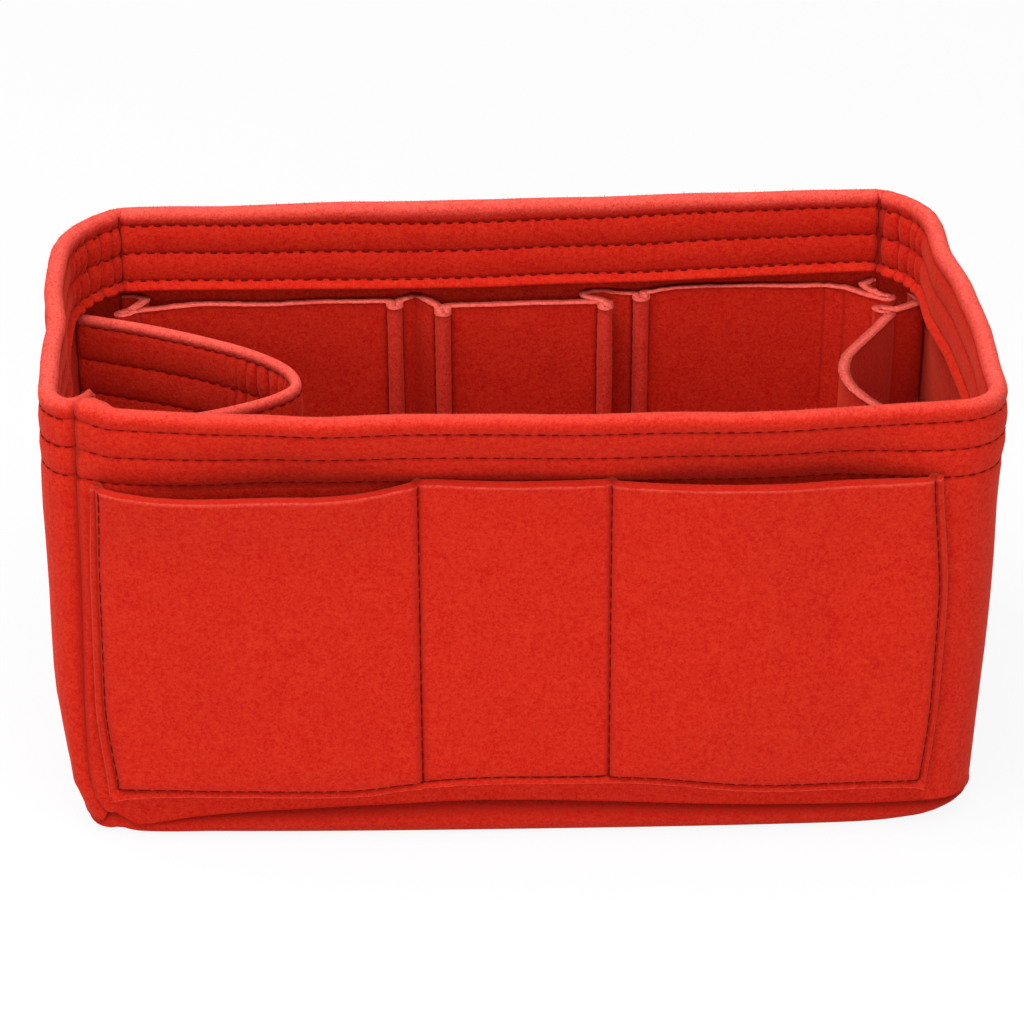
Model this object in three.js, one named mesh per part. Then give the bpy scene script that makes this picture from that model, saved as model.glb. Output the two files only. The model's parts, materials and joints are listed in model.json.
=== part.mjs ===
// Purse organizer insert: an open box of thick felt with folded, triple-stitched hems. Three pockets are
// sewn on the front, a pleated pocket strip stands along the inside of the back, a bowed pocket stands at the
// right end and a hemmed bottle loop at the left end.
// Millimetres, +Z up, X along the length, front pockets towards -Y. The origin is under the box's middle.
import * as THREE from 'three';

// Felt and sewing
const FELT = 3; // thickness of every sheet
const SEWN_GAP = 0.3; // between two sheets that are sewn together
const FELT_RED = 0xd62f20;

// Box at the rim, over the outside of the walls
const HEIGHT = 156;
const RIM_LENGTH = 311;
const RIM_DEPTH = 161; // back wall to the front wall's right end
const FRONT_SKEW = 12; // how far the front wall's left end stands behind its right end
const FRONT_BOW = 11; // how far the front wall swells out between its ends
const RIGHT_DRAW = 10; // how far the right wall's back end is drawn in
const RIGHT_BEND_DRAW = 3; // the same at the wall's soft bend
const RIGHT_BEND_SHARE = 0.56; // place of that bend between front and back
const RIGHT_BEND_RADIUS = 400;

// Corners and upright seams
const FRONT_SEAM_INSET = 16.5; // front-left seam, from the left wall
const FRONT_SEAM_KINK = 4.5; // rise of the left wall's sheet from that seam to the left wall
const FRONT_CORNER_INSET = 18.5; // start of the smooth front-right corner, from the right wall
const BACK_LEFT_SEAM_INSET = 24;
const BACK_LEFT_SEAM_KINK = 14;
const BACK_RIGHT_SEAM_INSET = 26.5;
const BACK_RIGHT_SEAM_KINK = 10.5;
const FRONT_LEFT_RADIUS = 19;
const FRONT_RIGHT_RADIUS = 18;
const BACK_LEFT_RADIUS = 44;
const BACK_RIGHT_RADIUS = 33;

// Lean: how far each wall's foot stands inside its rim, and how much of that is left at the belly.
// The front's rim bows over a nearly straight foot: its lean is given at its left end, middle and right end.
const LEFT_LEAN = 7.5;
const RIGHT_LEAN = 6;
const FRONT_LEFT_LEAN = -10;
const FRONT_MIDDLE_LEAN = 4.2;
const FRONT_RIGHT_LEAN = -2;
const BACK_LEAN = 3;
const BELLY_HEIGHT = 72;
const BELLY_SHARE = 0.33;

// Folded hem
const HEM_DEPTH = 29.3;
const HEM_PUFF = 0.8; // extra thickness of the soft channels between two rows of stitches
const STITCH_DIP = 0.8; // depth that a row of stitches pulls each face in
const FIRST_ROW_DROP = 6; // rim to the first row
const ROW_PITCH = 10;
const ROW_COUNT = 3;

// Bottom panel, turned up to meet the walls in a low seam
const SEAM_HEIGHT = 9;
const EDGE_ROUND = 6;

// Front pocket panel
const PANEL_LEFT = 19.5; // panel's left edge, from the left wall
const PANEL_RIGHT = 23; // panel's right edge, from the right wall
const PANEL_BOTTOM = 17.5;
const PANEL_DROP = 24; // rim to the panel's top
const SIDE_POCKET_BOW = 8;
const CENTRE_POCKET_BOW = 1.2;
const FRONT_POCKETS = [
  { share: 0.374, bow: SIDE_POCKET_BOW },
  { share: 0.233, bow: CENTRE_POCKET_BOW },
  { share: 0.393, bow: SIDE_POCKET_BOW },
];
const PANEL_LIP = 3.5; // raw edge outside the stitches
const LIP_FLARE = 1.2;

// Pleated strips and bottle loop, which end just under the hem
const STRIP_DROP = 3; // hem's raw edge to the top of a strip
const FOLD_RADIUS = FELT / 2 + SEWN_GAP;
const BEND_RADIUS = 2.2;

// Back strip. Two inner pleats are sewn to the wall, at shares of its length from the left seam.
// The end folds are placed from the corner seams and the inner ones from their pleats. Depths are from the
// wall to the middle of the felt.
const LEFT_PLEAT_SHARE = 0.386;
const RIGHT_PLEAT_SHARE = 0.624;
const BACK_FINS = {
  leftEnd: { place: 6.5, depth: 12.8, angle: 214, length: 7 },
  leftInner: { place: -7.5, depth: 7.4, angle: 270, length: 5.5 },
  centreLeft: { place: 8.8, depth: 10.5, angle: 270, length: 6 },
  centreRight: { place: 2.4, depth: 11, angle: 270, length: 5.5 },
  rightInner: { place: 15, depth: 6.4, angle: 270, length: 5.5 },
  rightEnd: { place: -3.5, depth: 13.5, angle: 330, length: 6.5 },
};
const PLEAT_SEAT = 1.9; // half of the flat that lies on the wall
const PLEAT_CURL = 5; // how far a pleat's S-bend stands off the wall
const LEFT_POCKET_SLACK = [
  { share: 0.243, depth: 8.6, radius: 40 },
  { share: 0.728, depth: 6.2, radius: 100 },
];
const RIGHT_POCKET_SLACK = [
  { share: 0.308, depth: 4.4, radius: 60 },
  { share: 0.746, depth: 5, radius: 22 },
];
const END_TAB = 7; // flat that is sewn beside a corner seam
const RIGHT_END_TAB = 3.5; // the same at the back strip's right end

// Right strip, a pocket that bows out from the right wall
const RIGHT_POCKET_BACK = 29.7; // back wall to the pocket's back edge-stitched corner
const RIGHT_POCKET_FRONT = 42.7; // front wall's right end to the front one
const RIGHT_POCKET_STAND = 24.5; // right wall to each corner
const RIGHT_POCKET_REACH = 51; // right wall to where the two straight runs would meet
const RIGHT_POCKET_RADIUS = 33;
const RIGHT_FIN_LENGTH = 6;
const RIGHT_FIN_TURN = 30; // degrees from the X axis
const RIGHT_GUSSET_BACK = 7; // corner to where the strip meets the wall, along the wall
const RIGHT_GUSSET_FRONT = 6;

// Left bottle loop
const LOOP_REACH = 84.5; // left wall to the tip
const LOOP_BACK = 16.5; // back wall to where the loop's back end meets the left wall
const LOOP_FRONT = 52.5; // front wall's right end to its front end
const LOOP_TIP_SHARE = 0.4; // place of the tip between the two ends
const LOOP_STEPS = 26;

// Fineness of the round stretches
const ARC_STEP = THREE.MathUtils.degToRad(24);
const BOW_STEPS = 14;
const POCKET_STEPS = 8;
const PANEL_LEVELS = 6;

const LEFT = -RIM_LENGTH / 2;
const RIGHT = RIM_LENGTH / 2;
const FRONT = -RIM_DEPTH / 2;
const BACK = RIM_DEPTH / 2;
const HEM_THICKNESS = 2 * FELT + HEM_PUFF;
const PANEL_TOP = HEIGHT - PANEL_DROP;
const PANEL_LENGTH = RIM_LENGTH - PANEL_LEFT - PANEL_RIGHT;
const STRIP_TOP = HEIGHT - HEM_DEPTH - STRIP_DROP;
const STRIP_FOOT = FELT + SEWN_GAP;
const ON_WALL = FELT / 2 + SEWN_GAP; // wall's inner face to the middle of a sheet sewn on it

const vec = (x, y) => new THREE.Vector2(x, y);
const leftOf = heading => vec(-heading.y, heading.x);

// Share of the lean that is left at height z
function leanShare(z) {
  return z < BELLY_HEIGHT
    ? THREE.MathUtils.mapLinear(z, 0, BELLY_HEIGHT, 1, BELLY_SHARE)
    : THREE.MathUtils.mapLinear(z, BELLY_HEIGHT, HEIGHT, BELLY_SHARE, 0);
}

// Where a point of the rim's plan lies at height z, drawn in evenly with the leaning walls
function leaned(point, z) {
  const across = (point.x - LEFT) / RIM_LENGTH;
  const back = (point.y - FRONT) / RIM_DEPTH;
  const frontLean =
    FRONT_LEFT_LEAN * (1 - across) * (1 - 2 * across) +
    FRONT_MIDDLE_LEAN * 4 * across * (1 - across) +
    FRONT_RIGHT_LEAN * across * (2 * across - 1);
  return new THREE.Vector3(
    point.x + leanShare(z) * THREE.MathUtils.lerp(LEFT_LEAN, -RIGHT_LEAN, across),
    point.y + leanShare(z) * THREE.MathUtils.lerp(frontLean, -BACK_LEAN, back),
    z,
  );
}

// A path through [x, y, radius] corners, each rounded with an arc of its radius
function rounded(corners) {
  const points = [];
  const add = point => {
    if (!points.length || points.at(-1).distanceTo(point) > 1e-3) points.push(point);
  };
  corners.forEach(([x, y, radius], i) => {
    const corner = vec(x, y);
    if (!radius) {
      add(corner);
      return;
    }
    const arriving = corner.clone().sub(vec(...corners[i - 1])).normalize();
    const leaving = vec(...corners[i + 1]).sub(corner).normalize();
    const turn = Math.atan2(arriving.cross(leaving), arriving.dot(leaving));
    const start = corner.clone().addScaledVector(arriving, -radius * Math.tan(Math.abs(turn) / 2));
    const centre = start.clone().addScaledVector(leftOf(arriving), Math.sign(turn) * radius);
    const steps = Math.max(2, Math.ceil(Math.abs(turn) / ARC_STEP));
    for (let step = 0; step <= steps; step++) {
      add(start.clone().rotateAround(centre, (turn * step) / steps));
    }
  });
  return points;
}

// The points of a path, each with the mitred vector that leads one millimetre of felt to its left.
// Headings of what the path is sewn to give the mitres at its two ends.
function stations(points, headingBefore, headingAfter) {
  const headings = points.slice(1).map((point, i) => point.clone().sub(points[i]).normalize());
  return points.map((point, i) => {
    const arriving = headings[i - 1] ?? headingBefore ?? headings[0];
    const leaving = headings[i] ?? headingAfter ?? headings.at(-1);
    const inward = leftOf(arriving).add(leftOf(leaving));
    return { point, inward: inward.divideScalar(1 + arriving.dot(leaving)) };
  });
}

// The point at an inset from a path's station
const inside = ({ point, inward }, inset) => point.clone().addScaledVector(inward, inset);

// A closed skin over rings of points, with a flat cap on the first and the last ring
function loft(rings, firstCap, lastCap) {
  const size = rings[0].length;
  const triangles = [];
  for (let i = 0; i + 1 < rings.length; i++) {
    for (let j = 0; j < size; j++) {
      const a = i * size + j;
      const b = i * size + ((j + 1) % size);
      triangles.push([a, b, b + size], [a, b + size, a + size]);
    }
  }
  const addCap = (outline, offset, along) => {
    const turn = Math.sign(THREE.ShapeUtils.area(outline)) * along;
    for (const face of THREE.ShapeUtils.triangulateShape(outline, [])) {
      const area = THREE.ShapeUtils.area(face.map(k => outline[k]));
      const [a, b, c] = face.map(k => k + offset);
      triangles.push(Math.sign(area) === turn ? [a, b, c] : [a, c, b]);
    }
  };
  addCap(firstCap, 0, -1);
  addCap(lastCap, (rings.length - 1) * size, 1);

  const corners = rings.flat();
  const volume = triangles.reduce(
    (sum, [a, b, c]) => sum + corners[a].dot(corners[b].clone().cross(corners[c])), 0);
  const outward = volume > 0 ? triangles : triangles.map(([a, b, c]) => [a, c, b]);
  const geometry = new THREE.BufferGeometry().setFromPoints(corners);
  geometry.setIndex(outward.flat());
  geometry.computeVertexNormals();
  return geometry;
}

// A profile of [inset, z] points carried along a path; the profile may change from stop to stop
function sweep(stops, profileAt) {
  const profiles = stops.map((stop, i) => profileAt(i));
  const rings = stops.map((stop, i) => profiles[i].map(([inset, z]) => leaned(inside(stop, inset), z)));
  const cap = profile => profile.map(([inset, z]) => vec(inset, z));
  return loft(rings, cap(profiles[0]), cap(profiles.at(-1)));
}

// An upright sheet of felt whose middle follows a path, from its foot to its top
function standingSheet(path, foot, top) {
  const side = inset => stations(path).map(stop => inside(stop, inset));
  const outline = [...side(-FELT / 2), ...side(FELT / 2).reverse()];
  const rings = [foot, BELLY_HEIGHT, top].map(z => outline.map(point => leaned(point, z)));
  return loft(rings, outline, outline);
}

// Profile of a sheet whose top is folded inward and sewn down in rows: up the outer face, over the rim's
// roll, down the inside of the hem to its raw edge and down the inner face
function hemmedProfile(foot, top) {
  const rows = Array.from({ length: ROW_COUNT }, (_, k) => top - FIRST_ROW_DROP - k * ROW_PITCH);
  const channel = [];
  rows.toReversed().forEach((row, k) => {
    channel.push([STITCH_DIP, row]);
    if (k + 1 < ROW_COUNT) {
      for (const share of [0.2, 0.5, 0.8]) {
        channel.push([STITCH_DIP * (1 - Math.sin(Math.PI * share) ** 0.7), row + ROW_PITCH * share]);
      }
    }
  });
  const roll = HEM_THICKNESS / 2;
  const rim = [180, 150, 120, 90, 60, 30, 0].map(THREE.MathUtils.degToRad)
    .map(angle => [roll + roll * Math.cos(angle), top - roll + roll * Math.sin(angle)]);
  const hemEdge = top - HEM_DEPTH;
  return [
    [0, foot],
    [0, BELLY_HEIGHT],
    [0, hemEdge],
    ...channel,
    ...rim,
    ...channel.toReversed().map(([dip, z]) => [HEM_THICKNESS - dip, z]),
    [HEM_THICKNESS - STITCH_DIP / 2, hemEdge],
    [FELT, hemEdge],
    [FELT, BELLY_HEIGHT],
    [FELT, foot],
  ];
}

// Rim plan: the outer faces of the three wall sheets, counter-clockwise from the front-left seam
const frontLeftSeam = vec(LEFT + FRONT_SEAM_INSET, FRONT + FRONT_SKEW);
const frontRightCorner = vec(RIGHT - FRONT_CORNER_INSET, FRONT);
const backRightSeam = vec(RIGHT - BACK_RIGHT_SEAM_INSET, BACK);
const backLeftSeam = vec(LEFT + BACK_LEFT_SEAM_INSET, BACK);
const rightWallBend = vec(RIGHT - RIGHT_BEND_DRAW, THREE.MathUtils.lerp(FRONT, BACK, RIGHT_BEND_SHARE));
const rightWallEnd = vec(RIGHT - RIGHT_DRAW, BACK - BACK_RIGHT_SEAM_KINK);
const leftWallEnd = vec(LEFT, BACK - BACK_LEFT_SEAM_KINK);
const frontSwell = frontLeftSeam.clone().lerp(frontRightCorner, 0.5).sub(vec(0, 2 * FRONT_BOW));
const frontLine = new THREE.QuadraticBezierCurve(frontLeftSeam, frontSwell, frontRightCorner);
const frontEnd = frontRightCorner.clone().sub(frontSwell);

const frontAndRightPath = [
  ...frontLine.getPoints(BOW_STEPS).slice(0, -1),
  ...rounded([
    frontRightCorner.toArray(),
    [RIGHT, FRONT + (FRONT_CORNER_INSET * frontEnd.y) / frontEnd.x, FRONT_RIGHT_RADIUS],
    [...rightWallBend, RIGHT_BEND_RADIUS],
    [...rightWallEnd, BACK_RIGHT_RADIUS],
    backRightSeam.toArray(),
  ]),
];
const backPath = [backRightSeam, backLeftSeam];
const leftPath = rounded([
  backLeftSeam.toArray(),
  [...leftWallEnd, BACK_LEFT_RADIUS],
  [LEFT, frontLeftSeam.y + FRONT_SEAM_KINK, FRONT_LEFT_RADIUS],
  frontLeftSeam.toArray(),
]);

// A wall sheet between two upright seams, cut back at each end by half of the sewn gap
function wall(path, previous, next) {
  const heading = (a, b) => b.clone().sub(a).normalize();
  const first = heading(path[0], path[1]);
  const last = heading(path.at(-2), path.at(-1));
  const cut = [...path];
  cut[0] = path[0].clone().addScaledVector(first, SEWN_GAP / 2);
  cut[cut.length - 1] = path.at(-1).clone().addScaledVector(last, -SEWN_GAP / 2);
  const before = heading(previous.at(-2), previous.at(-1));
  const after = heading(next[0], next[1]);
  const profile = hemmedProfile(SEAM_HEIGHT + SEWN_GAP, HEIGHT);
  return sweep(stations(cut, before, after), () => profile);
}

// Bottom panel: a flat sheet whose edge turns up to the low seam under the walls
function bottomPanel() {
  const outline = [...frontAndRightPath.slice(0, -1), ...backPath.slice(0, -1), ...leftPath.slice(0, -1)];
  const round = [90, 60, 30, 0].map(THREE.MathUtils.degToRad)
    .map(angle => [EDGE_ROUND - EDGE_ROUND * Math.cos(angle), EDGE_ROUND - EDGE_ROUND * Math.sin(angle)]);
  const profile = [...round, [0, SEAM_HEIGHT], [FELT, SEAM_HEIGHT], [FELT, FELT]];
  const closed = stations([outline.at(-1), ...outline, outline[0]]).slice(1, -1);
  const flat = ([inset]) => closed.map(stop => inside(stop, inset));
  const rings = profile.map(([inset, z]) => flat([inset]).map(point => leaned(point, z)));
  return loft(rings, flat(profile[0]), flat(profile.at(-1)));
}

// Front pocket panel: one sheet sewn down at both ends, along its foot and between its pockets
function frontPocketPanel() {
  const stops = [];
  const addStop = (x, spread, bow) => {
    const share = (x - frontLeftSeam.x) / (frontRightCorner.x - frontLeftSeam.x);
    const tangent = frontLine.getTangent(share);
    stops.push({ point: frontLine.getPoint(share), inward: leftOf(tangent), spread, bow });
  };
  let start = LEFT + PANEL_LEFT;
  FRONT_POCKETS.forEach(({ share: part, bow }, k) => {
    const width = part * PANEL_LENGTH;
    const left = k === 0 ? PANEL_LIP : 0;
    const right = k === FRONT_POCKETS.length - 1 ? PANEL_LIP : 0;
    const mouth = width - left - right;
    if (left) addStop(start, LIP_FLARE, 0);
    for (let step = k ? 1 : 0; step <= POCKET_STEPS; step++) {
      const share = step / POCKET_STEPS;
      addStop(start + left + mouth * share, 0, bow * Math.sin(Math.PI * share));
    }
    if (right) addStop(start + width, LIP_FLARE, 0);
    start += width;
  });
  const foot = PANEL_BOTTOM + PANEL_LIP;
  const heights = Array.from({ length: PANEL_LEVELS + 1 },
    (_, k) => THREE.MathUtils.lerp(foot, PANEL_TOP, k / PANEL_LEVELS));
  const levels = [PANEL_BOTTOM, ...heights, BELLY_HEIGHT].sort((a, b) => a - b);
  const profileAt = i => {
    const { spread, bow } = stops[i];
    const standOff = z => {
      const rise = (z - foot) / (PANEL_TOP - foot);
      const lift = rise < 0 ? LIP_FLARE : spread + bow * (1 - (1 - rise) ** 2);
      return -SEWN_GAP - lift;
    };
    return [
      ...levels.map(z => [standOff(z), z]),
      ...levels.toReversed().map(z => [standOff(z) - FELT, z]),
    ];
  };
  return sweep(stops, profileAt);
}

// The point of the plan at a given Y and at an inset from an end wall, whose path runs from back to front
function onEndWall(path, y, inset) {
  const line = stations(path).map(stop => inside(stop, inset));
  const k = line.findIndex(point => point.y < y);
  return line[k - 1].clone().lerp(line[k], (line[k - 1].y - y) / (line[k - 1].y - line[k].y));
}

// The four corners of an edge-stitched fold that stands out from its root along an angle
function fin(x, y, angle, length) {
  const out = vec(1, 0).rotateAround(vec(0, 0), THREE.MathUtils.degToRad(angle));
  const root = vec(x, y);
  const tip = root.clone().addScaledVector(out, length);
  const beside = (point, side) => point.clone().addScaledVector(leftOf(out), side * FOLD_RADIUS);
  return [
    [...beside(root, -1), BEND_RADIUS],
    [...beside(tip, -1), FOLD_RADIUS],
    [...beside(tip, 1), FOLD_RADIUS],
    [...beside(root, 1), BEND_RADIUS],
  ];
}

// Back strip: three pockets between edge-stitched folds, pleated back to the wall beside each fold
function backPocketStrip() {
  const inner = BACK - FELT;
  const along = share => THREE.MathUtils.lerp(backLeftSeam.x, backRightSeam.x, share);
  const leftPleat = along(LEFT_PLEAT_SHARE);
  const rightPleat = along(RIGHT_PLEAT_SHARE);
  const finAt = (start, { place, depth, angle, length }) => fin(start + place, inner - depth, angle, length);
  const slack = (from, to) => ({ share, depth, radius }) =>
    [THREE.MathUtils.lerp(from, to, share), inner - depth, radius];
  const inLeftPocket = slack(
    backLeftSeam.x + BACK_FINS.leftEnd.place, leftPleat + BACK_FINS.leftInner.place);
  const inRightPocket = slack(
    rightPleat + BACK_FINS.rightInner.place, backRightSeam.x + BACK_FINS.rightEnd.place);
  const seat = inner - ON_WALL;
  const pleat = x => [[x - PLEAT_SEAT, seat, FOLD_RADIUS], [x + PLEAT_SEAT, seat, FOLD_RADIUS]];
  const leftTab = backLeftSeam.x + FELT / 2;
  const rightTab = backRightSeam.x - FELT / 2;
  const curl = inner - PLEAT_CURL - SEWN_GAP;
  const path = rounded([
    [leftTab, seat],
    [leftTab + END_TAB - BEND_RADIUS, seat, BEND_RADIUS],
    [leftTab + END_TAB + FELT / 2, curl, BEND_RADIUS],
    ...finAt(backLeftSeam.x, BACK_FINS.leftEnd),
    ...LEFT_POCKET_SLACK.map(inLeftPocket),
    ...finAt(leftPleat, BACK_FINS.leftInner),
    ...pleat(leftPleat),
    ...finAt(leftPleat, BACK_FINS.centreLeft),
    ...finAt(rightPleat, BACK_FINS.centreRight),
    [rightPleat - PLEAT_CURL, curl, BEND_RADIUS],
    [rightPleat - PLEAT_SEAT, seat, BEND_RADIUS],
    [rightPleat + PLEAT_SEAT, seat, FOLD_RADIUS],
    ...finAt(rightPleat, BACK_FINS.rightInner),
    ...RIGHT_POCKET_SLACK.map(inRightPocket),
    ...finAt(backRightSeam.x, BACK_FINS.rightEnd),
    [rightTab - RIGHT_END_TAB - FELT / 2, curl, BEND_RADIUS],
    [rightTab - RIGHT_END_TAB + BEND_RADIUS, seat, BEND_RADIUS],
    [rightTab, seat],
  ]);
  return standingSheet(path, STRIP_FOOT, STRIP_TOP);
}

// Right strip: one pocket that bows into the box between two edge-stitched folds
function rightPocketStrip() {
  const onWall = y => onEndWall(frontAndRightPath.toReversed(), y, -FELT - ON_WALL).toArray();
  const back = BACK - RIGHT_POCKET_BACK;
  const front = FRONT + RIGHT_POCKET_FRONT;
  const backSeat = back + RIGHT_GUSSET_BACK;
  const frontSeat = front - RIGHT_GUSSET_FRONT;
  const corner = RIGHT - RIGHT_POCKET_STAND;
  const path = rounded([
    onWall(backSeat + END_TAB),
    [...onWall(backSeat), BEND_RADIUS],
    ...fin(corner, back, 180 - RIGHT_FIN_TURN, RIGHT_FIN_LENGTH),
    [RIGHT - RIGHT_POCKET_REACH, (back + front) / 2, RIGHT_POCKET_RADIUS],
    ...fin(corner, front, 180 + RIGHT_FIN_TURN, RIGHT_FIN_LENGTH),
    [...onWall(frontSeat), BEND_RADIUS],
    onWall(frontSeat - END_TAB),
  ]);
  return standingSheet(path, STRIP_FOOT, STRIP_TOP);
}

// Bottle loop: a hemmed band that runs out from the left wall and back, its hem folded to the inside
function leftBottleLoop() {
  const seat = y => onEndWall(leftPath, y, FELT + SEWN_GAP);
  const front = FRONT + LOOP_FRONT;
  const back = BACK - LOOP_BACK;
  const tip = THREE.MathUtils.lerp(front, back, LOOP_TIP_SHARE);
  const points = Array.from({ length: LOOP_STEPS + 1 }, (_, k) => {
    const along = (2 * k) / LOOP_STEPS - 1;
    const end = seat(along < 0 ? front : back);
    return vec(
      THREE.MathUtils.lerp(LEFT + LOOP_REACH, end.x, along ** 2),
      THREE.MathUtils.lerp(tip, end.y, Math.abs(along)),
    );
  });
  const stops = stations(points);
  for (const end of [stops[0], stops.at(-1)]) {
    const reach = Math.sign(tip - end.point.y) * 2 * HEM_THICKNESS;
    const alongWall = seat(end.point.y + reach).sub(end.point);
    end.inward = alongWall.divideScalar(alongWall.dot(end.inward));
  }
  const profile = hemmedProfile(STRIP_FOOT, STRIP_TOP);
  return sweep(stops, () => profile);
}

const organizer = new THREE.Group();

function addFelt(name, geometry) {
  const felt = new THREE.MeshStandardMaterial({ color: FELT_RED, roughness: 0.95, metalness: 0 });
  const mesh = new THREE.Mesh(geometry, felt);
  mesh.name = name;
  organizer.add(mesh);
}

addFelt('bottom_panel', bottomPanel());
addFelt('front_and_right_wall', wall(frontAndRightPath, leftPath, backPath));
addFelt('back_wall', wall(backPath, frontAndRightPath, leftPath));
addFelt('left_wall', wall(leftPath, backPath, frontAndRightPath));
addFelt('front_pocket_panel', frontPocketPanel());
addFelt('back_pocket_strip', backPocketStrip());
addFelt('right_pocket_strip', rightPocketStrip());
addFelt('left_bottle_loop', leftBottleLoop());

// The origin goes under the middle of the whole box
const middle = new THREE.Box3().setFromObject(organizer).getCenter(new THREE.Vector3());
organizer.position.set(-middle.x, -middle.y, 0);

export default organizer;
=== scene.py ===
"""Felt purse organizer insert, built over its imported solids.

Every wall, pocket and strip is a sheet of 3 mm felt. A sheet starts as a flat grid, is laid along its plan
line, folded and pulled in where it is sewn, and then gets its thickness. Lengths inside the functions are
millimetres in the plan of the rim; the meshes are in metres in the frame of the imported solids.
"""
import json
import math
import random

import bmesh
import bpy
import numpy as np
from bpy.props import FloatProperty, FloatVectorProperty, IntProperty, PointerProperty
from mathutils import Matrix, Vector, noise
from mathutils.bvhtree import BVHTree

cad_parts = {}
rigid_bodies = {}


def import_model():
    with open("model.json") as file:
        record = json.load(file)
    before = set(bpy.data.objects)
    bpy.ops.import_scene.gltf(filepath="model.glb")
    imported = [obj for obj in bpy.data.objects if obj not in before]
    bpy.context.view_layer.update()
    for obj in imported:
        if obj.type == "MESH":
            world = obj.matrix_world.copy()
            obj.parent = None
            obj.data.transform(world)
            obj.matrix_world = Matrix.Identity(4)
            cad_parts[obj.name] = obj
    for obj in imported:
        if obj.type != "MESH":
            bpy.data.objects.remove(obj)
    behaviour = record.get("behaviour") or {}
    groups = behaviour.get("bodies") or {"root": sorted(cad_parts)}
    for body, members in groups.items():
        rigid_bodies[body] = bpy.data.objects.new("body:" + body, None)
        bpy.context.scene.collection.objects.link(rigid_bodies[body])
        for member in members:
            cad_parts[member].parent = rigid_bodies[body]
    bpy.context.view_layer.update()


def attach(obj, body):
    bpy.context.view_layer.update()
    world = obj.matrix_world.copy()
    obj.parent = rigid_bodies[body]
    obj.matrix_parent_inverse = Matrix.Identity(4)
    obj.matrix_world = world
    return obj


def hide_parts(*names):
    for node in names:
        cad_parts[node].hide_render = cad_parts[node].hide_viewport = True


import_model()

BODY = "root"
MM = 0.001
PLAN_MIDDLE = (0.272, 7.877)  # middle of the rim's plan, in the frame

bl_info = {
    "name": "Felt purse organizer",
    "version": (1, 0, 0),
    "blender": (4, 5, 0),
    "location": "3D View > Sidebar > Organizer",
    "description": "Builds a felt purse organizer insert over its packed solids",
    "category": "Add Mesh",
}


def mm(name, description, millimetres):
    return FloatProperty(name=name, description=description, default=millimetres * MM, unit="LENGTH")


def colour_property(name, description, default):
    return FloatVectorProperty(
        name=name, description=description, default=default, size=3, min=0, max=1, subtype="COLOR")


class FeltSettings(bpy.types.PropertyGroup):
    """Felt, thread and their colours"""
    thickness: mm("Thickness", "Thickness of every sheet of felt", 3)
    sewn_gap: mm("Sewn gap", "Room between two sheets that are sewn together", 0.3)
    stitch: mm("Stitch", "Length of one stitch", 4.3)
    thread: mm("Thread", "Thickness of the sewing thread", 0.65)
    colour: colour_property("Felt", "Colour of the felt", (0.54, 0.0155, 0.005))
    # Raised fibres, made paler with a painted highlight on the rims, fold tips and raw edges
    nap_and_highlight_colour: colour_property("Nap", "Colour of the raised nap on the rims", (0.92, 0.14, 0.105))
    # Painted shade, mixed into the felt along stitches, seams, creases, corner grooves and under the walls'
    # feet
    painted_shade_colour: colour_property(
        "Seam", "Colour of the felt that a row of stitches pulls tight", (0.15, 0.002, 0.001))
    # Raw cut edges, paler as raw fibres and with a painted highlight
    cut_edge_highlight_colour: colour_property("Cut edge", "Colour of the raw cut edges", (0.72, 0.105, 0.08))
    # Thread made dark as painted shade of its sunk needle holes
    shaded_thread_colour: colour_property("Thread", "Colour of the sewing thread", (0.17, 0.002, 0.001))


class BoxSettings(bpy.types.PropertyGroup):
    """The box of walls, over the outside of the felt at the rim"""
    height: mm("Height", "Floor to the rim", 156)
    rim_length: mm("Length", "Length of the rim", 311)
    rim_depth: mm("Depth", "Back wall to the front wall's right end", 161)
    front_skew: mm("Front skew", "How far the front's left end stands behind its right end", 12)
    front_bow: mm("Front bow", "How far the front swells out between its ends", 11)
    right_draw: mm("Right draw", "How far the right wall's back end is drawn in", 10)
    right_bend: mm("Right bend", "How far the right wall is drawn in at its soft bend", 3)
    left_lean: mm("Left lean", "How far the left wall's foot stands inside its rim", 7.5)
    right_lean: mm("Right lean", "How far the right wall's foot stands inside its rim", 6)
    front_left_lean: mm("Front left lean", "How far the front's left end leans out", -10)
    front_middle_lean: mm("Front lean", "How far the front's foot stands inside its rim", 4.2)
    front_right_lean: mm("Front right lean", "How far the front's right foot stands in", -2)
    back_lean: mm("Back lean", "How far the back's foot stands inside its rim", 3)
    seam_height: mm("Bottom seam", "Height of the seam between the walls and the bottom", 9.4)
    edge_round: mm("Bottom round", "Outer radius of the bottom panel's turned edge", 6)


class HemSettings(bpy.types.PropertyGroup):
    """The folded hem that is sewn down in rows"""
    depth: mm("Depth", "Rim to the raw edge inside", 29.3)
    puff: mm("Puff", "Extra thickness of the channels between the rows", 0.8)
    outer_dip: mm("Outer dip", "How far a row of stitches pulls the outer face in", 1.2)
    inner_dip: mm("Inner dip", "How far a row of stitches pulls the hem's face in", 2)
    first_row: mm("First row", "Rim to the first row of stitches", 6)
    row_pitch: mm("Row pitch", "Distance between two rows", 10)
    row_count: IntProperty(name="Rows", description="Number of rows of stitches", default=3, min=1)
    flare: mm("Flare", "How far the raw edge stands off inside", 1.5)
    slack: mm("Slack", "How far the hem of a wall stands further in at its raw edge", 2.6)


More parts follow.
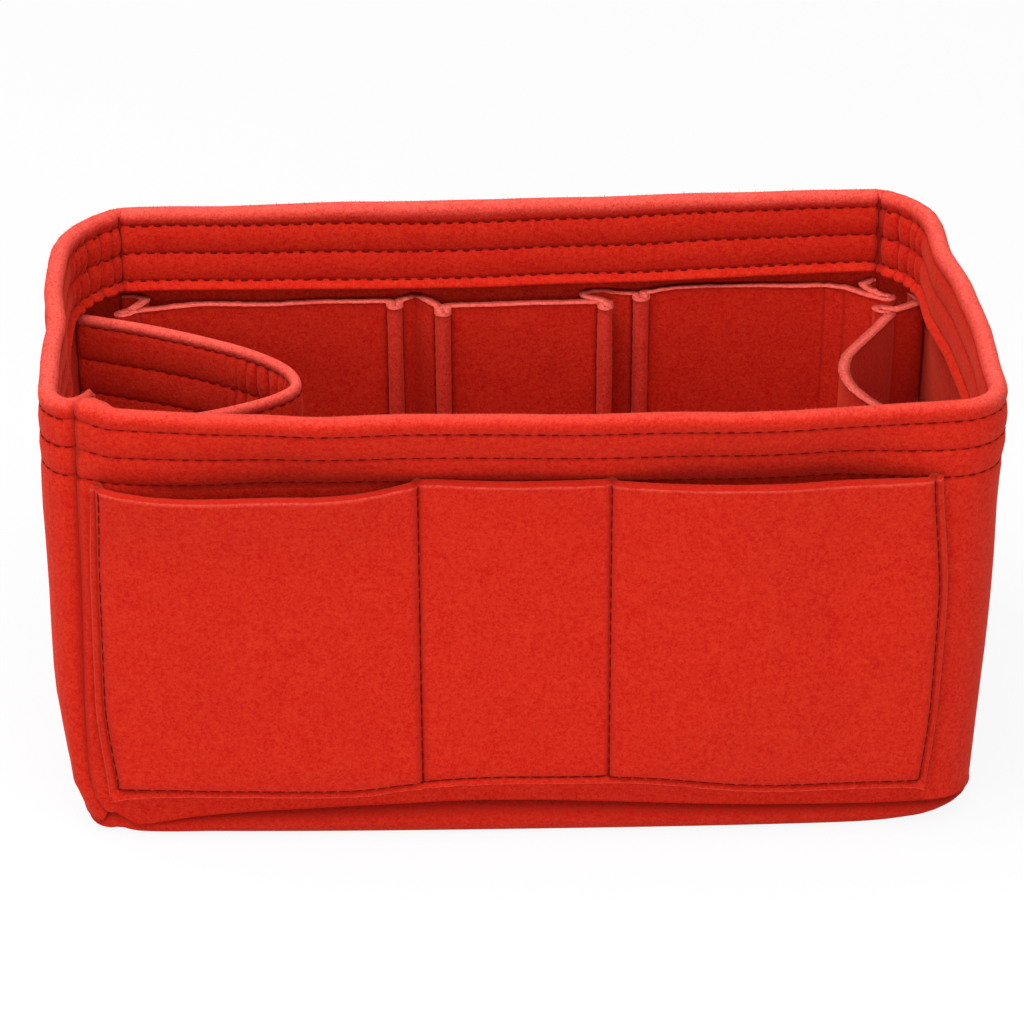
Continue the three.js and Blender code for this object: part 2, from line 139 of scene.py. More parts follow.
class FrontPocketSettings(bpy.types.PropertyGroup):
    """The panel of three pockets on the front"""
    left: mm("Left", "Left wall to the panel's left edge", 19.5)
    right: mm("Right", "Right wall to the panel's right edge", 23)
    bottom: mm("Bottom", "Floor to the panel's lower edge", 17.5)
    drop: mm("Drop", "Rim to the panel's top", 24)
    lip: mm("Lip", "Raw edge outside the stitches", 2.8)
    lip_flare: mm("Lip flare", "How far the raw edge stands off the wall", 1.5)
    left_bow: mm("Left bow", "How far the left pocket's mouth stands open", 8)
    right_bow: mm("Right bow", "How far the right pocket's mouth stands open", 5.6)
    centre_bow: mm("Centre bow", "How far the centre pocket's mouth stands open", 1.2)
    shoulder: mm("Shoulder", "How far the felt rises beside a line of stitches", 2.2)


class StripSettings(bpy.types.PropertyGroup):
    """The pleated strips inside and the bottle loop"""
    drop: mm("Drop", "Hem's raw edge to the top of a strip", 3)
    bend: mm("Bend", "Radius of a soft bend", 2.2)
    curl: mm("Curl", "How far a pleat's bend stands off the wall", 5)
    end_tab: mm("End tab", "Flat that is sewn beside a corner seam", 7)
    right_end_tab: mm("Right end tab", "The same at the back strip's right end", 3.5)
    right_back: mm("Right pocket back", "Back wall to the pocket's back corner", 29.7)
    right_front: mm("Right pocket front", "Front's right end to the pocket's front corner", 42.7)
    right_stand: mm("Right pocket stand", "Right wall to each corner of the pocket", 24.5)
    right_reach: mm("Right pocket reach", "Right wall to where the pocket's two runs meet", 51)
    right_radius: mm("Right pocket radius", "Radius of the pocket's bowed front", 33)
    loop_reach: mm("Loop reach", "Left wall to the tip of the bottle loop", 84.5)
    loop_back: mm("Loop back", "Back wall to the loop's back end", 16.5)
    loop_front: mm("Loop front", "Front's right end to the loop's front end", 52.5)


class StageSettings(bpy.types.PropertyGroup):
    """Floor, light and camera"""
    floor_colour: colour_property("Floor", "Colour of the floor", (0.78, 0.78, 0.78))
    lens: FloatProperty(name="Lens", description="Focal length of the camera", default=203.4, unit="CAMERA")
    key_power: FloatProperty(name="Key light", description="Power of the light above", default=31,
                             unit="POWER")
    fill_power: FloatProperty(name="Fill light", description="Power of the low light in front", default=11,
                              unit="POWER")
    sky: FloatProperty(name="Sky", description="Strength of the even light all round", default=0.3, min=0)


def settings(name):
    return getattr(bpy.context.scene, "organizer_" + name)


def size(group, name):
    """A length of the settings in millimetres."""
    return getattr(settings(group), name) / MM


# Plan lines

ARC_STEP = math.radians(12)


def unit(vector):
    return vector / np.linalg.norm(vector)


def left_of(heading):
    return np.array((-heading[1], heading[0]))


def turned(vector, angle):
    c, s = math.cos(angle), math.sin(angle)
    return np.array((c * vector[0] - s * vector[1], s * vector[0] + c * vector[1]))


def lerp(a, b, share):
    return a + (b - a) * share


def smooth(low, high, value):
    """0 at low and 1 at high, which may be the lesser of the two."""
    share = np.clip((value - low) / (high - low), 0, 1)
    return share * share * (3 - 2 * share)


def plateau(value, start, full, fade, end):
    """1 from full to fade, sinking to 0 at start and end."""
    return smooth(start, full, value) * smooth(end, fade, value)


def bell(value, width):
    """1 at 0, sinking alike on both sides over a width."""
    return np.exp(-(value / width) ** 2)


def climbs(value, steps):
    """Sum of smooth steps, each (height, low, high)."""
    return sum(height * smooth(low, high, value) for height, low, high in steps)


def bells(value, swells):
    """Sum of bells, each (height, place, width)."""
    return sum(height * bell(value - place, width) for height, place, width in swells)


def distance(points, place):
    return np.linalg.norm(points - place, axis=-1)


def rounded(corners):
    """A plan line through (x, y, radius) corners, each turned in an arc of its radius."""
    points = []
    for i, corner in enumerate(corners):
        here = np.array(corner[:2], float)
        radius = corner[2] if len(corner) > 2 else 0
        if not radius:
            points.append(here)
            continue
        arriving = unit(here - np.array(corners[i - 1][:2]))
        leaving = unit(np.array(corners[i + 1][:2]) - here)
        turn = math.atan2(arriving[0] * leaving[1] - arriving[1] * leaving[0], arriving @ leaving)
        start = here - arriving * radius * math.tan(abs(turn) / 2)
        centre = start + left_of(arriving) * math.copysign(radius, turn)
        steps = max(2, math.ceil(abs(turn) / ARC_STEP))
        points += [centre + turned(start - centre, turn * k / steps) for k in range(steps + 1)]
    kept = [points[0]]
    for point in points[1:]:
        if np.linalg.norm(point - kept[-1]) > 1e-3:
            kept.append(point)
    return np.array(kept)


def bezier(start, control, end, steps):
    share = np.linspace(0, 1, steps + 1)[:, None]
    return (1 - share) ** 2 * start + 2 * share * (1 - share) * control + share ** 2 * end


class PlanLine:
    """A line in the plan that can be asked for its point and its left side at any length along it."""

    def __init__(self, points):
        self.points = np.asarray(points, float)
        steps = np.linalg.norm(np.diff(self.points, axis=0), axis=1)
        self.along = np.concatenate(([0], np.cumsum(steps)))
        self.length = self.along[-1]
        headings = np.diff(self.points, axis=0) / steps[:, None]
        bends = np.concatenate((headings[:1], headings[:-1] + headings[1:], headings[-1:]))
        self.headings = bends / np.linalg.norm(bends, axis=1)[:, None]

    def point(self, at):
        return np.stack([np.interp(at, self.along, self.points[:, k]) for k in (0, 1)], axis=-1)

    def inward(self, at):
        heading = np.stack([np.interp(at, self.along, self.headings[:, k]) for k in (0, 1)], axis=-1)
        heading /= np.linalg.norm(heading, axis=-1, keepdims=True)
        return np.stack((-heading[..., 1], heading[..., 0]), axis=-1)

    def beside(self, at, inset):
        return self.point(at) + self.inward(at) * np.asarray(inset)[..., None]


class Plan:
    """Seams and lines of the rim, counter-clockwise from the front-left seam, from the box's sizes."""

    FRONT_SEAM = (12.8, 4.5, 16)  # inset from the left wall, kink, radius
    FRONT_CORNER = (18.5, 18)  # inset from the right wall, radius
    BACK_LEFT = (22.3, 14, 44)  # inset of the seam from the end wall, of that wall from the back, radius
    BACK_RIGHT = (26.5, 10.5, 33)
    RIGHT_BEND = (0.56, 400)  # place between front and back, radius
    LEAN_POWER = 1.6  # power by which a wall's lean fades towards the rim
    FRONT_STAND = (7.2, 15)  # how far the foot stands out at the front-left seam, reach
    SEAM_DRAW = ((8, 1.5), 15, 18)  # how far a lower corner is drawn in, its reach, the height it starts at
    LEFT_DRAW = ((4, 0), 17, 50)
    RIGHT_DRAW = ((-7, 3.5), 22, 10)
    LEFT_DRAW_PLACE = 16  # behind the front-left seam
    RIGHT_DRAW_PLACE = (6, 8)  # from the right wall and from the front
    DRAWN = 2  # height at which a corner is drawn in fully
    FRONT_TILT = 7.5  # how far the front's middle stands back at the pockets' mouths
    TILT_SPAN = (-125, -72, 95, 140)
    TILT_HEIGHTS = (10, 118)  # from the foot to the mouths
    TILT_RETURN = 25  # depth under the rim over which the front leans out again
    RIM_REACH = 4.3  # how far the rim stands out at the front's left end
    REACH_SPAN = (-143, -130, -72, -28)
    RIM_SWELLS = ((1.3, 85, 22),)  # how far it stands out elsewhere, place and width
    RIM_HEIGHTS = (100, 150)
    RISE = (0.3, 1.2)  # height that the back's rim gains in its middle, and further at its right end
    SEAM_RISE = (4.5, -8, 64, 50)  # how far the bottom seam rises in front, place, reach across and back
    SEAM_PEAK = (7, 4.7)  # its short rise and its long drop at the front-left seam, with their reaches
    SEAM_DROP = (7.4, 28)

    def __init__(self):
        self.left, self.right = -size("box", "rim_length") / 2, size("box", "rim_length") / 2
        self.front, self.back = -size("box", "rim_depth") / 2, size("box", "rim_depth") / 2
        self.height = size("box", "height")
        self.front_left_seam = np.array(
            (self.left + self.FRONT_SEAM[0], self.front + size("box", "front_skew")))
        front_right = np.array((self.right - self.FRONT_CORNER[0], self.front))
        self.back_right_seam = np.array((self.right - self.BACK_RIGHT[0], self.back))
        self.back_left_seam = np.array((self.left + self.BACK_LEFT[0], self.back))
        swell = (self.front_left_seam + front_right) / 2 - (0, 2 * size("box", "front_bow"))
        slope = (front_right - swell)[1] / (front_right - swell)[0]
        front = bezier(self.front_left_seam, swell, front_right, 120)
        right_end = (self.right - size("box", "right_draw"), self.back - self.BACK_RIGHT[1])
        right_bend = (self.right - size("box", "right_bend"), lerp(self.front, self.back, self.RIGHT_BEND[0]))
        corner = rounded([
            front_right,
            (self.right, self.front + self.FRONT_CORNER[0] * slope, self.FRONT_CORNER[1]),
            (*right_bend, self.RIGHT_BEND[1]),
            (*right_end, self.BACK_RIGHT[2]),
            self.back_right_seam,
        ])
        self.front_line = PlanLine(front)
        self.front_and_right = PlanLine(np.concatenate((front[:-1], corner)))
        self.back_line = PlanLine([self.back_right_seam, self.back_left_seam])
        self.left_line = PlanLine(rounded([
            self.back_left_seam,
            (self.left, self.back - self.BACK_LEFT[1], self.BACK_LEFT[2]),
            (self.left, self.front_left_seam[1] + self.FRONT_SEAM[1], self.FRONT_SEAM[2]),
            self.front_left_seam,
        ]))
        self.drawn_corners = (
            (self.front_left_seam, self.SEAM_DRAW),
            ((self.left, self.front_left_seam[1] + self.LEFT_DRAW_PLACE), self.LEFT_DRAW),
            ((self.right - self.RIGHT_DRAW_PLACE[0], self.front + self.RIGHT_DRAW_PLACE[1]), self.RIGHT_DRAW))

    def leaned(self, plan, z):
        """Points of the rim's plan at heights z, drawn in evenly with the leaning walls."""
        share = np.clip(1 - z / self.height, 0, 1) ** self.LEAN_POWER
        across = (plan[..., 0] - self.left) / (self.right - self.left)
        back = (plan[..., 1] - self.front) / (self.back - self.front)
        front_lean = (size("box", "front_left_lean") * (1 - across) * (1 - 2 * across)
                      + size("box", "front_middle_lean") * 4 * across * (1 - across)
                      + size("box", "front_right_lean") * across * (2 * across - 1))
        stand, reach = self.FRONT_STAND
        side_lean = lerp(size("box", "left_lean"), -size("box", "right_lean"), across)
        x = plan[..., 0] + share * (side_lean - stand * bell(distance(plan, self.front_left_seam), reach))
        y = plan[..., 1] + share * lerp(front_lean, -size("box", "back_lean"), back)
        for corner, (shift, reach, high) in self.drawn_corners:
            pull = smooth(high, self.DRAWN, z) * bell(distance(plan, corner), reach)
            x, y = x + shift[0] * pull, y + shift[1] * pull
        lifted = z + self.rise(plan) * np.clip(z / self.height, 0, 1) ** 2
        return np.stack((x, y, np.broadcast_to(lifted, x.shape)), axis=-1)

    def front_draw(self, x, z):
        """Inset of the front, which leans out from its pockets' mouths to the rim."""
        out = self.RIM_REACH * plateau(x, *self.REACH_SPAN) + bells(x, self.RIM_SWELLS)
        mouths = np.clip((self.height - z) / self.TILT_RETURN, 0, 1) * smooth(*self.TILT_HEIGHTS, z)
        return self.FRONT_TILT * plateau(x, *self.TILT_SPAN) * mouths - out * smooth(*self.RIM_HEIGHTS, z)

    def rise(self, plan):
        """Height that the rim gains towards the back-right corner."""
        across = plan[..., 0] / self.right
        back = np.clip((plan[..., 1] - self.front) / (self.back - self.front), 0, 1)
        return (self.RISE[0] + self.RISE[1] * across) * back

    def seam_height(self, plan):
        """Height of the bottom seam, which rises in the front's middle and drops at its left end."""
        most, place, across, back = self.SEAM_RISE
        middle = most * bell(plan[..., 0] - place, across) * bell(plan[..., 1] - self.front, back)
        away = distance(plan, self.front_left_seam)
        (peak, near), (drop, far) = self.SEAM_PEAK, self.SEAM_DROP
        corner = peak * bell(away, near) - drop * np.exp(-(away / far) ** 1.5)
        return size("box", "seam_height") + middle + corner


def in_frame(points):
    """Millimetres of the plan to metres of the frame."""
    return (np.asarray(points) + (*PLAN_MIDDLE, 0)) * MM


def ripple(points, scale, strength):
    """Slow unevenness of soft felt, in millimetres, at points given in millimetres."""
    flat = np.asarray(points).reshape(-1, 3) / scale
    return strength * np.array([noise.noise(Vector(p)) for p in flat]).reshape(np.shape(points)[:-1])


def ripples(points, waves):
    """Sum of ripples, each (scale, strength)."""
    return sum(ripple(points, *wave) for wave in waves)


# Making meshes

def shape_mesh(name, shape, **sizes):
    """A mesh of one of bmesh's own shapes."""
    bm = bmesh.new()
    shape(bm, **sizes)
    mesh = bpy.data.meshes.new(name)
    bm.to_mesh(mesh)
    bm.free()
    return mesh


def add_copy(bm, one, place):
    """Adds a copy of a small mesh, placed by a matrix."""
    bm.from_mesh(one)
    bm.verts.ensure_lookup_table()
    for vert in bm.verts[-len(one.vertices):]:
        vert.co = place @ vert.co


def new_object(name, bm, *materials):
    mesh = bpy.data.meshes.new(name)
    bm.to_mesh(mesh)
    bm.free()
    for material in materials:
        mesh.materials.append(material)
    for polygon in mesh.polygons:
        polygon.use_smooth = True
    obj = bpy.data.objects.new(name, mesh)
    bpy.context.scene.collection.objects.link(obj)
    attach(obj, BODY)
    return obj


FRAYED = 1.35  # most that a raw edge is thicker than the felt


def felt_sheet(name, middle, pressed, across, along, nap=0, seam=0, closed=False, pale_edge=True):
    """A sheet of felt from the places of its middle (columns x rows x 3, in millimetres).

    pressed is the share of the thickness that is left at each place, nap the share of painted
    highlight on raised fibres, seam the share of painted shade along stitches, seams, creases and grooves,
    and across and along are the sheet's own flat lengths at its columns and rows. A closed sheet meets
    itself, and its last row is filled.
    """
    columns, rows = middle.shape[:2]
    bm = bmesh.new()
    flat = bm.loops.layers.uv.new("flat")
    bmesh.ops.create_grid(bm, x_segments=columns - 1, y_segments=rows - 1, size=1)
    places = in_frame(middle)
    weights = np.clip(pressed / FRAYED, 0, 1)
    layer = bm.verts.layers.deform.verify()
    # Layers of painted highlight and painted shade, mixed into the colour by the material
    raised, painted_shade = bm.verts.layers.float.new("nap"), bm.verts.layers.float.new("seam")
    nap, seam = np.broadcast_to(nap, middle.shape[:2]), np.broadcast_to(seam, middle.shape[:2])
    index = {}
    for vert in bm.verts:
        i = round((vert.co.x + 1) / 2 * (columns - 1))
        j = round((vert.co.y + 1) / 2 * (rows - 1))
        vert.co = places[i, j]
        vert[layer][0] = weights[i, j]
        vert[raised], vert[painted_shade] = nap[i, j], seam[i, j]
        index[vert] = i, j
    for face in bm.faces:
        for loop in face.loops:
            i, j = index[loop.vert]
            loop[flat].uv = across[i] * MM, along[j] * MM
    if closed:
        rim = [vert for vert, (i, j) in index.items() if j == rows - 1]
        bmesh.ops.remove_doubles(bm, verts=bm.verts, dist=1e-6)
        rim = {vert for vert in rim if vert.is_valid}
        bmesh.ops.edgeloop_fill(
            bm, edges=[e for e in bm.edges if e.is_boundary and rim.issuperset(e.verts)])
        bmesh.ops.recalc_face_normals(bm, faces=bm.faces)
    obj = new_object(name, bm, felt_material(), cut_edge_material())
    obj.vertex_groups.new(name="pressed")
    thick = obj.modifiers.new("thickness", "SOLIDIFY")
    thick.thickness = size("felt", "thickness") * FRAYED * MM
    thick.offset = 0
    thick.use_even_offset = False
    thick.use_quality_normals = True
    thick.vertex_group = "pressed"
    thick.material_offset_rim = 1 if pale_edge else 0
    return obj


def soften(edge, share=0.8):
    """Presses an outermost column or row, so that a raw edge is a little rounded."""
    np.minimum(edge, share, out=edge)


class Stitching:
    """A bmesh that collects stitches, each a small spindle of thread sunk in its row."""

    PROUD = (-0.25, 0.3)  # share of the thread that stands proud

    def __init__(self, reach=5, share=(0.5, 0.72)):
        """reach is how far away a sheet's face is looked for, and share the part of a stitch that shows."""
        self.bm = bmesh.new()
        self.reach, self.share = reach * MM, share
        self.face = None
        self.chance = random.Random(3)
        self.one = shape_mesh("spindle", bmesh.ops.create_uvsphere, u_segments=6, v_segments=5, radius=1,
                              matrix=Matrix.Rotation(math.pi / 2, 4, "Y"))

    def lay_on(self, sheet):
        """Takes the sheet on whose faces the next stitches lie."""
        bpy.context.view_layer.update()
        self.face = BVHTree.FromObject(sheet, bpy.context.evaluated_depsgraph_get())

    def sunk(self, point, outward):
        """The place on the sheet's face under a point."""
        hit = self.face.ray_cast(point + outward * self.reach, -outward, 2 * self.reach)[0]
        return hit or point

    def add(self, first, second, outward, depth=0):
        """One stitch between two points of a face, in millimetres, with the face's outward vector."""
        outward = Vector(outward).normalized()
        first, second = (self.sunk(Vector(in_frame(hole)), outward) for hole in (first, second))
        centre = self.sunk((first + second) / 2, outward)
        heading = second - first
        half = heading.length * self.chance.uniform(*self.share) / 2
        heading.normalize()
        side = heading.cross(outward).normalized()
        radius = size("felt", "thread") / 2 * MM
        place = Matrix((heading * half, side * radius, side.cross(heading) * radius)).transposed().to_4x4()
        place.translation = centre + outward * (radius * self.chance.uniform(*self.PROUD) - depth * MM)
        add_copy(self.bm, self.one, place)

    def line(self, points, outward, depth=0):
        """Stitches along a row of needle holes, sunk by a depth."""
        depth = np.broadcast_to(depth, len(points))
        for k in range(len(points) - 1):
            self.add(points[k], points[k + 1], outward[k], depth[k])

    def finish(self, name):
        bpy.data.meshes.remove(self.one)
        bmesh.ops.recalc_face_normals(self.bm, faces=self.bm.faces)
        return new_object(name, self.bm, thread_material())


# Hemmed sheets: the walls and the bottle loop

ROW_SAMPLES = (-5, -2.5, -1.4, -0.6, 0, 0.6, 1.4, 2.5)  # distances from a row of stitches that are modelled
END_SAMPLES = (0.25, 0.6, 1.0, 1.9, 2.4, 3.4, 3.9)  # the same from a sheet's ends
ROLL_ANGLES = np.radians(np.arange(157.5, 20, -22.5))  # the same round the roll over the rim
CLOSEST = 0.12  # least distance between two columns


def row_drops(first, pitch):
    """Distances from the rim down to the rows of stitches."""
    return [first + k * pitch for k in range(settings("hem").row_count)]


def crease(away):
    """Share of the dip at a distance from a row of stitches: a sharp valley between soft shoulders."""
    away = np.abs(away)
    return 0.5 * np.exp(-away / 0.8) + 0.5 * bell(away, 3)


def hem_samples(roll, rows, depth):
    """Distances from the rim that are modelled in the hem, from the roll down to the raw edge."""
    drops = {roll, depth, depth - 0.4, depth - 2}
    for drop in rows:
        drops |= {drop + sample for sample in ROW_SAMPLES}
    return sorted(d for d in drops if roll <= d <= depth)


def thinned(columns):
    """Columns without those that lie too close to the one before."""
    return columns[np.concatenate(([True], np.diff(columns) > CLOSEST))]


def fine_columns(length, ends=True, crowded=()):
    """Lengths along a sheet's line, three to a stitch, and closer at its ends and where it is crowded."""
    count = 3 * round(length / size("felt", "stitch"))
    at = list(np.linspace(0, length, count + 1))
    if ends:
        at += [e for d in END_SAMPLES for e in (d, length - d)]
    for start, end in crowded:
        at += list(np.arange(start, end, size("felt", "stitch") / 10))
    return thinned(np.unique(np.round(np.clip(at, 0, length), 3)))


class HemmedSheet:
    """A sheet that stands on its foot, folds inward at its top and is sewn down in rows.

    line is the plan line of its outer face, foot the height of its lower edge along the line, and top its
    rim. tuck gives the extra inset along the line, pucker the share of wrinkles in the hem, and groove the
    share by which the hem is drawn back beside a corner seam and given painted shade. swell and fold are
    further insets of the whole sheet and of its hem at (along, height), slack that of the hem's raw edge,
    settle the height that its rows gain along the line, and flat the share of its thickness. rows is its
    first row's distance from the rim and the pitch of the rows, depth that of its raw edge, pitch that of
    its wrinkles in stitches, and seam_shade the share of painted shade beside an upright seam.
    """

    UNEVEN = ((34, 0.5), (9, 0.14))  # size and depth of its slow and its fine unevenness
    RIM_WAVE = (27, 0.35)  # the same of the rim's height
    WAVE_REACH = 60  # how far down that goes
    GROOVE = 3.6  # how far the hem is drawn back beside a corner seam
    NOTCH = 0.5  # how far the rim sinks there
    GROOVE_DROPS = (1, 4)  # distances from the rim where its shade begins and is full
    PUCKER_DEPTH = 3
    PUCKER_DROPS = (3, 7)
    PUCKER_SHADE = 1.2
    QUILTED = (0.35, 1.6)  # share by which a row flattens the puckers, and its reach
    HOLES = (0.25, 1.2)  # share by which a row's pull is deeper at its needle holes, and their reach
    STAGGER = 3  # rows after which the needle holes are one stitch further
    OUTER_PULL, INNER_PULL = 0.55, 0.6  # shares of a dip that move the sheet
    PRESSED = 0.13  # share of the thickness that a dip takes
    FLARE_REACH = 2.8  # height over which the raw edge stands off
    SETTLE_DROPS = (1, 6, 35, 60)
    FOOT_REACH = 0.8  # height over which the foot stands out
    FOOT_ROWS = (0, 0.5, 1.1, 2, 3.2, 5)  # heights over the foot that are modelled
    WALL_ROWS = 12  # rows between these and the hem
    UNDER_HEM = 5  # where those rows end below the hem's raw edge
    HIGHLIGHT_REACH = (3, 1.8)  # how far the painted highlight on raised fibres reaches from the rim in front, and how much further elsewhere
    HIGHLIGHT_SHARE = (0.6, 0.4)
    HIGHLIGHT_TOP = 0.2  # depth at which it is full
    ROW_SHADE = (0.55, 0.75)  # share of painted shade along a row, and its width
    FOOT_SHADE = (0.5, 0.5)
    DARKEST_SHADE = 0.95
    SEAM_SHADE_TOP = 2.5  # distance from the rim where an upright seam's shade ends
    SUNK = (0.35, 0.6, 0.95)  # depth of the hem's stitches at the ends, and how far sideways those walls face
    MARGIN = 1  # least distance of a needle hole from the sheet's ends

    def __init__(self, plan, line, at, foot, top, tuck=0, pucker=0, groove=0, swell=None, fold=None,
                 foot_tuck=0, slack=0, settle=0, flat=1, rows=None, depth=None, pitch=1.45, seam_shade=0):
        self.plan, self.line, self.at, self.top = plan, line, at, top
        self.foot, self.tuck, self.pucker, self.groove, self.slack, self.settle, self.seam_shade = (
            np.broadcast_to(value, at.shape)[:, None]
            for value in (foot, tuck, pucker, groove, slack, settle, seam_shade))
        self.swell = swell or (lambda along, z: np.zeros(np.broadcast(along, z).shape))
        self.fold = fold or (lambda along, z: 0)
        self.foot_tuck, self.share = foot_tuck, flat
        self.felt = size("felt", "thickness") * flat
        self.roll = self.felt + size("hem", "puff") / 2 * flat
        self.rows = row_drops(*(rows or (size("hem", "first_row"), size("hem", "row_pitch"))))
        self.depth, self.pitch = depth or size("hem", "depth"), pitch
        self.step = line.length / round(line.length / size("felt", "stitch"))

    def from_rows(self, z):
        """Distances of heights from each row of stitches."""
        return [z - self.top + drop for drop in self.rows]

    def dips(self, at, z):
        """The rows' pull at lengths along the line and heights, deeper at the needle holes."""
        deeper, reach = self.HOLES
        total = 0
        for k, away in enumerate(self.from_rows(z)):
            holes = deeper * np.cos(2 * math.pi * (at / self.step + k / self.STAGGER))
            total = total + crease(away) * (1 + holes * bell(away, reach))
        return total

    def puckers(self, at, z):
        """Upright creases where the hem is crowded into a bend, with the felt standing out between them."""
        drift = 0.8 * np.sin(at / 5.3) + 0.5 * np.sin(at / 3.1 + z / 5)
        cell = np.abs(np.sin(math.pi * (at + drift) / (self.pitch * self.step))) ** 0.8 - 0.66
        share, reach = self.QUILTED
        quilted = 1 - share * sum(bell(away, reach) for away in self.from_rows(z))
        return self.PUCKER_DEPTH * cell * quilted * smooth(*self.PUCKER_DROPS, self.top - z)

    def outer_inset(self, at, z):
        dip = size("hem", "outer_dip") * self.share * self.OUTER_PULL * self.dips(at, z)
        turned_in = self.foot_tuck * np.exp(-np.clip(z - self.foot, 0, None) / self.FOOT_REACH)
        return self.felt / 2 + dip + self.tuck + turned_in + self.swell(at, z)

    def inner_inset(self, at, z):
        dip = size("hem", "inner_dip") * self.share * self.INNER_PULL * self.dips(at, z)
        flare = size("hem", "flare") * smooth(self.FLARE_REACH, 0, z - (self.top - self.depth))
        slack = self.slack * np.clip((self.top - z) / self.depth, 0, 1)
        wrinkles = self.pucker * self.puckers(at, z)
        hem = flare + slack + wrinkles - self.GROOVE * self.groove
        face = 2 * self.roll - self.felt / 2 - dip + hem
        return face + self.tuck + self.swell(at, z) + self.fold(at, z)

    def build(self, name):
        at = self.at[:, None]
        low = np.array(self.FOOT_ROWS)
        rest = self.top - self.depth - self.UNDER_HEM - self.foot - low[-1]
        wall = low[-1] + rest * np.linspace(0, 1, self.WALL_ROWS + 1)[1:]
        lower = self.foot + np.concatenate((np.broadcast_to(low, (len(at), len(low))), wall), axis=1)
        inner = self.top - np.array(hem_samples(self.roll, self.rows, self.depth)) + 0 * at
        outer = np.concatenate((lower, inner[:, ::-1]), axis=1)
        outer_inset = self.outer_inset(at, outer)
        behind = self.outer_inset(at, inner) + self.felt / 2
        inner_inset = np.maximum(self.inner_inset(at, inner), behind)
        start, end = outer_inset[:, -1:], inner_inset[:, :1]
        roll_inset = (start + end) / 2 + (end - start) / 2 * np.cos(ROLL_ANGLES)
        rise = self.roll - self.felt / 2 - self.NOTCH * self.groove
        roll = self.top - self.roll + rise * np.sin(ROLL_ANGLES)
        inset = np.concatenate((outer_inset, roll_inset, inner_inset), axis=1)
        z = np.concatenate((outer, roll, inner), axis=1)
        inward = self.line.inward(self.at)[:, None, :]
        places = self.plan.leaned(self.line.point(self.at)[:, None, :] + inward * inset[..., None], z)
        places[..., :2] += inward * ripples(places, self.UNEVEN)[..., None]
        places[..., 2] += ripple(places, *self.RIM_WAVE) * smooth(self.top - self.WAVE_REACH, self.top, z)
        places[..., 2] += self.settle * plateau(self.top - z, *self.SETTLE_DROPS)
        dips = np.concatenate((self.dips(at, outer), 0 * roll, self.dips(at, inner)), axis=1)
        pressed = 1 - self.PRESSED * dips
        soften(pressed[:, -1])
        runs = np.linalg.norm(np.diff(places[len(places) // 2], axis=0), axis=1)
        along = np.concatenate(([0], np.cumsum(runs)))
        self.flat = (self.line.length * MM, along[-1] * MM)
        # Painted highlight on the rim, standing for raised fibres that catch the light; fuller on the ends
        # and the back
        elsewhere = np.clip(np.maximum(np.abs(inward[..., 0]), -inward[..., 1]), 0, 1)
        reach, share = (least + more * elsewhere for least, more in (self.HIGHLIGHT_REACH, self.HIGHLIGHT_SHARE))
        nap = smooth(reach, self.HIGHLIGHT_TOP, self.top - z) * share
        self.obj = felt_sheet(name, places, pressed * self.share, self.at, along, nap,
                              self.painted_shade(at, z, inner), pale_edge=False)
        return self.obj

    def painted_shade(self, at, z, inner):
        """Share of painted shade along its rows and its foot, beside its seams, and in its wrinkles and
        corner grooves.
        """
        (share, width), (foot_share, foot_width) = self.ROW_SHADE, self.FOOT_SHADE
        seam = share * sum(bell(away, width) for away in self.from_rows(z))
        if self.foot_tuck:
            seam += foot_share * bell(np.clip(z - self.foot, 0, None), foot_width)
        seam += self.seam_shade * np.exp(-np.clip(z - self.top + self.SEAM_SHADE_TOP, 0, None))
        # Painted shade in the wrinkles' creases and in the corner grooves
        wrinkles = np.clip(0.2 - self.puckers(at, inner) / self.PUCKER_DEPTH, 0, 0.5)
        grooves = self.groove * smooth(*self.GROOVE_DROPS, self.top - inner)
        seam[:, -inner.shape[1]:] += self.PUCKER_SHADE * self.pucker * wrinkles + grooves
        return np.clip(seam, 0, self.DARKEST_SHADE)

    def along(self, at, values):
        """Values of the columns at other lengths along the line."""
        return np.interp(at, self.at, values[:, 0])

    def stitch(self, stitching):
        """Stitches of every row on the outer face and on the hem inside."""
        stitching.lay_on(self.obj)
        depth, *turned_away = self.SUNK
        count = round(self.line.length / self.step)
        for k, drop in enumerate(self.rows):
            at = (np.arange(-1, count + 1) + (1 - k / self.STAGGER)) * self.step
            at = at[(at > self.MARGIN) & (at < self.line.length - self.MARGIN)]
            z = np.full(at.shape, self.top - drop)
            inward = self.line.inward(at)
            level = np.concatenate((inward, 0 * at[:, None]), axis=1)
            slack = self.along(at, self.slack) * drop / self.depth
            tuck = self.along(at, self.tuck) + self.swell(at, z)
            for inset, side in ((0, -1), (2 * self.roll + slack, 1)):
                places = self.plan.leaned(self.line.beside(at, inset + tuck), z)
                places[:, 2] += ripple(places, *self.RIM_WAVE) + self.along(at, self.settle)
                sunk = depth * smooth(*turned_away, np.abs(inward[:, 0])) * (side > 0)
                stitching.line(places, level * side, sunk)


def end_tuck(at, length, first, last):
    """Inset of a sheet's rounded ends where it turns into a seam; each end has a (radius, depth)."""
    tuck = np.zeros(at.shape)
    for away, (radius, depth) in ((at, first), (length - at, last)):
        near = np.clip(1 - away / radius, 0, 1)
        tuck += depth * (1 - np.sqrt(1 - near ** 2))
    return tuck


# Materials

FIBRES = ((1900, 2), (700, 2), (130, 3))  # scale and detail of fibres, flecks and clouds


def feed(tree, socket, value):
    """Gives a socket a value, or links it from another node's output."""
    if isinstance(value, bpy.types.NodeSocket):
        tree.links.new(value, socket)
    else:
        socket.default_value = value


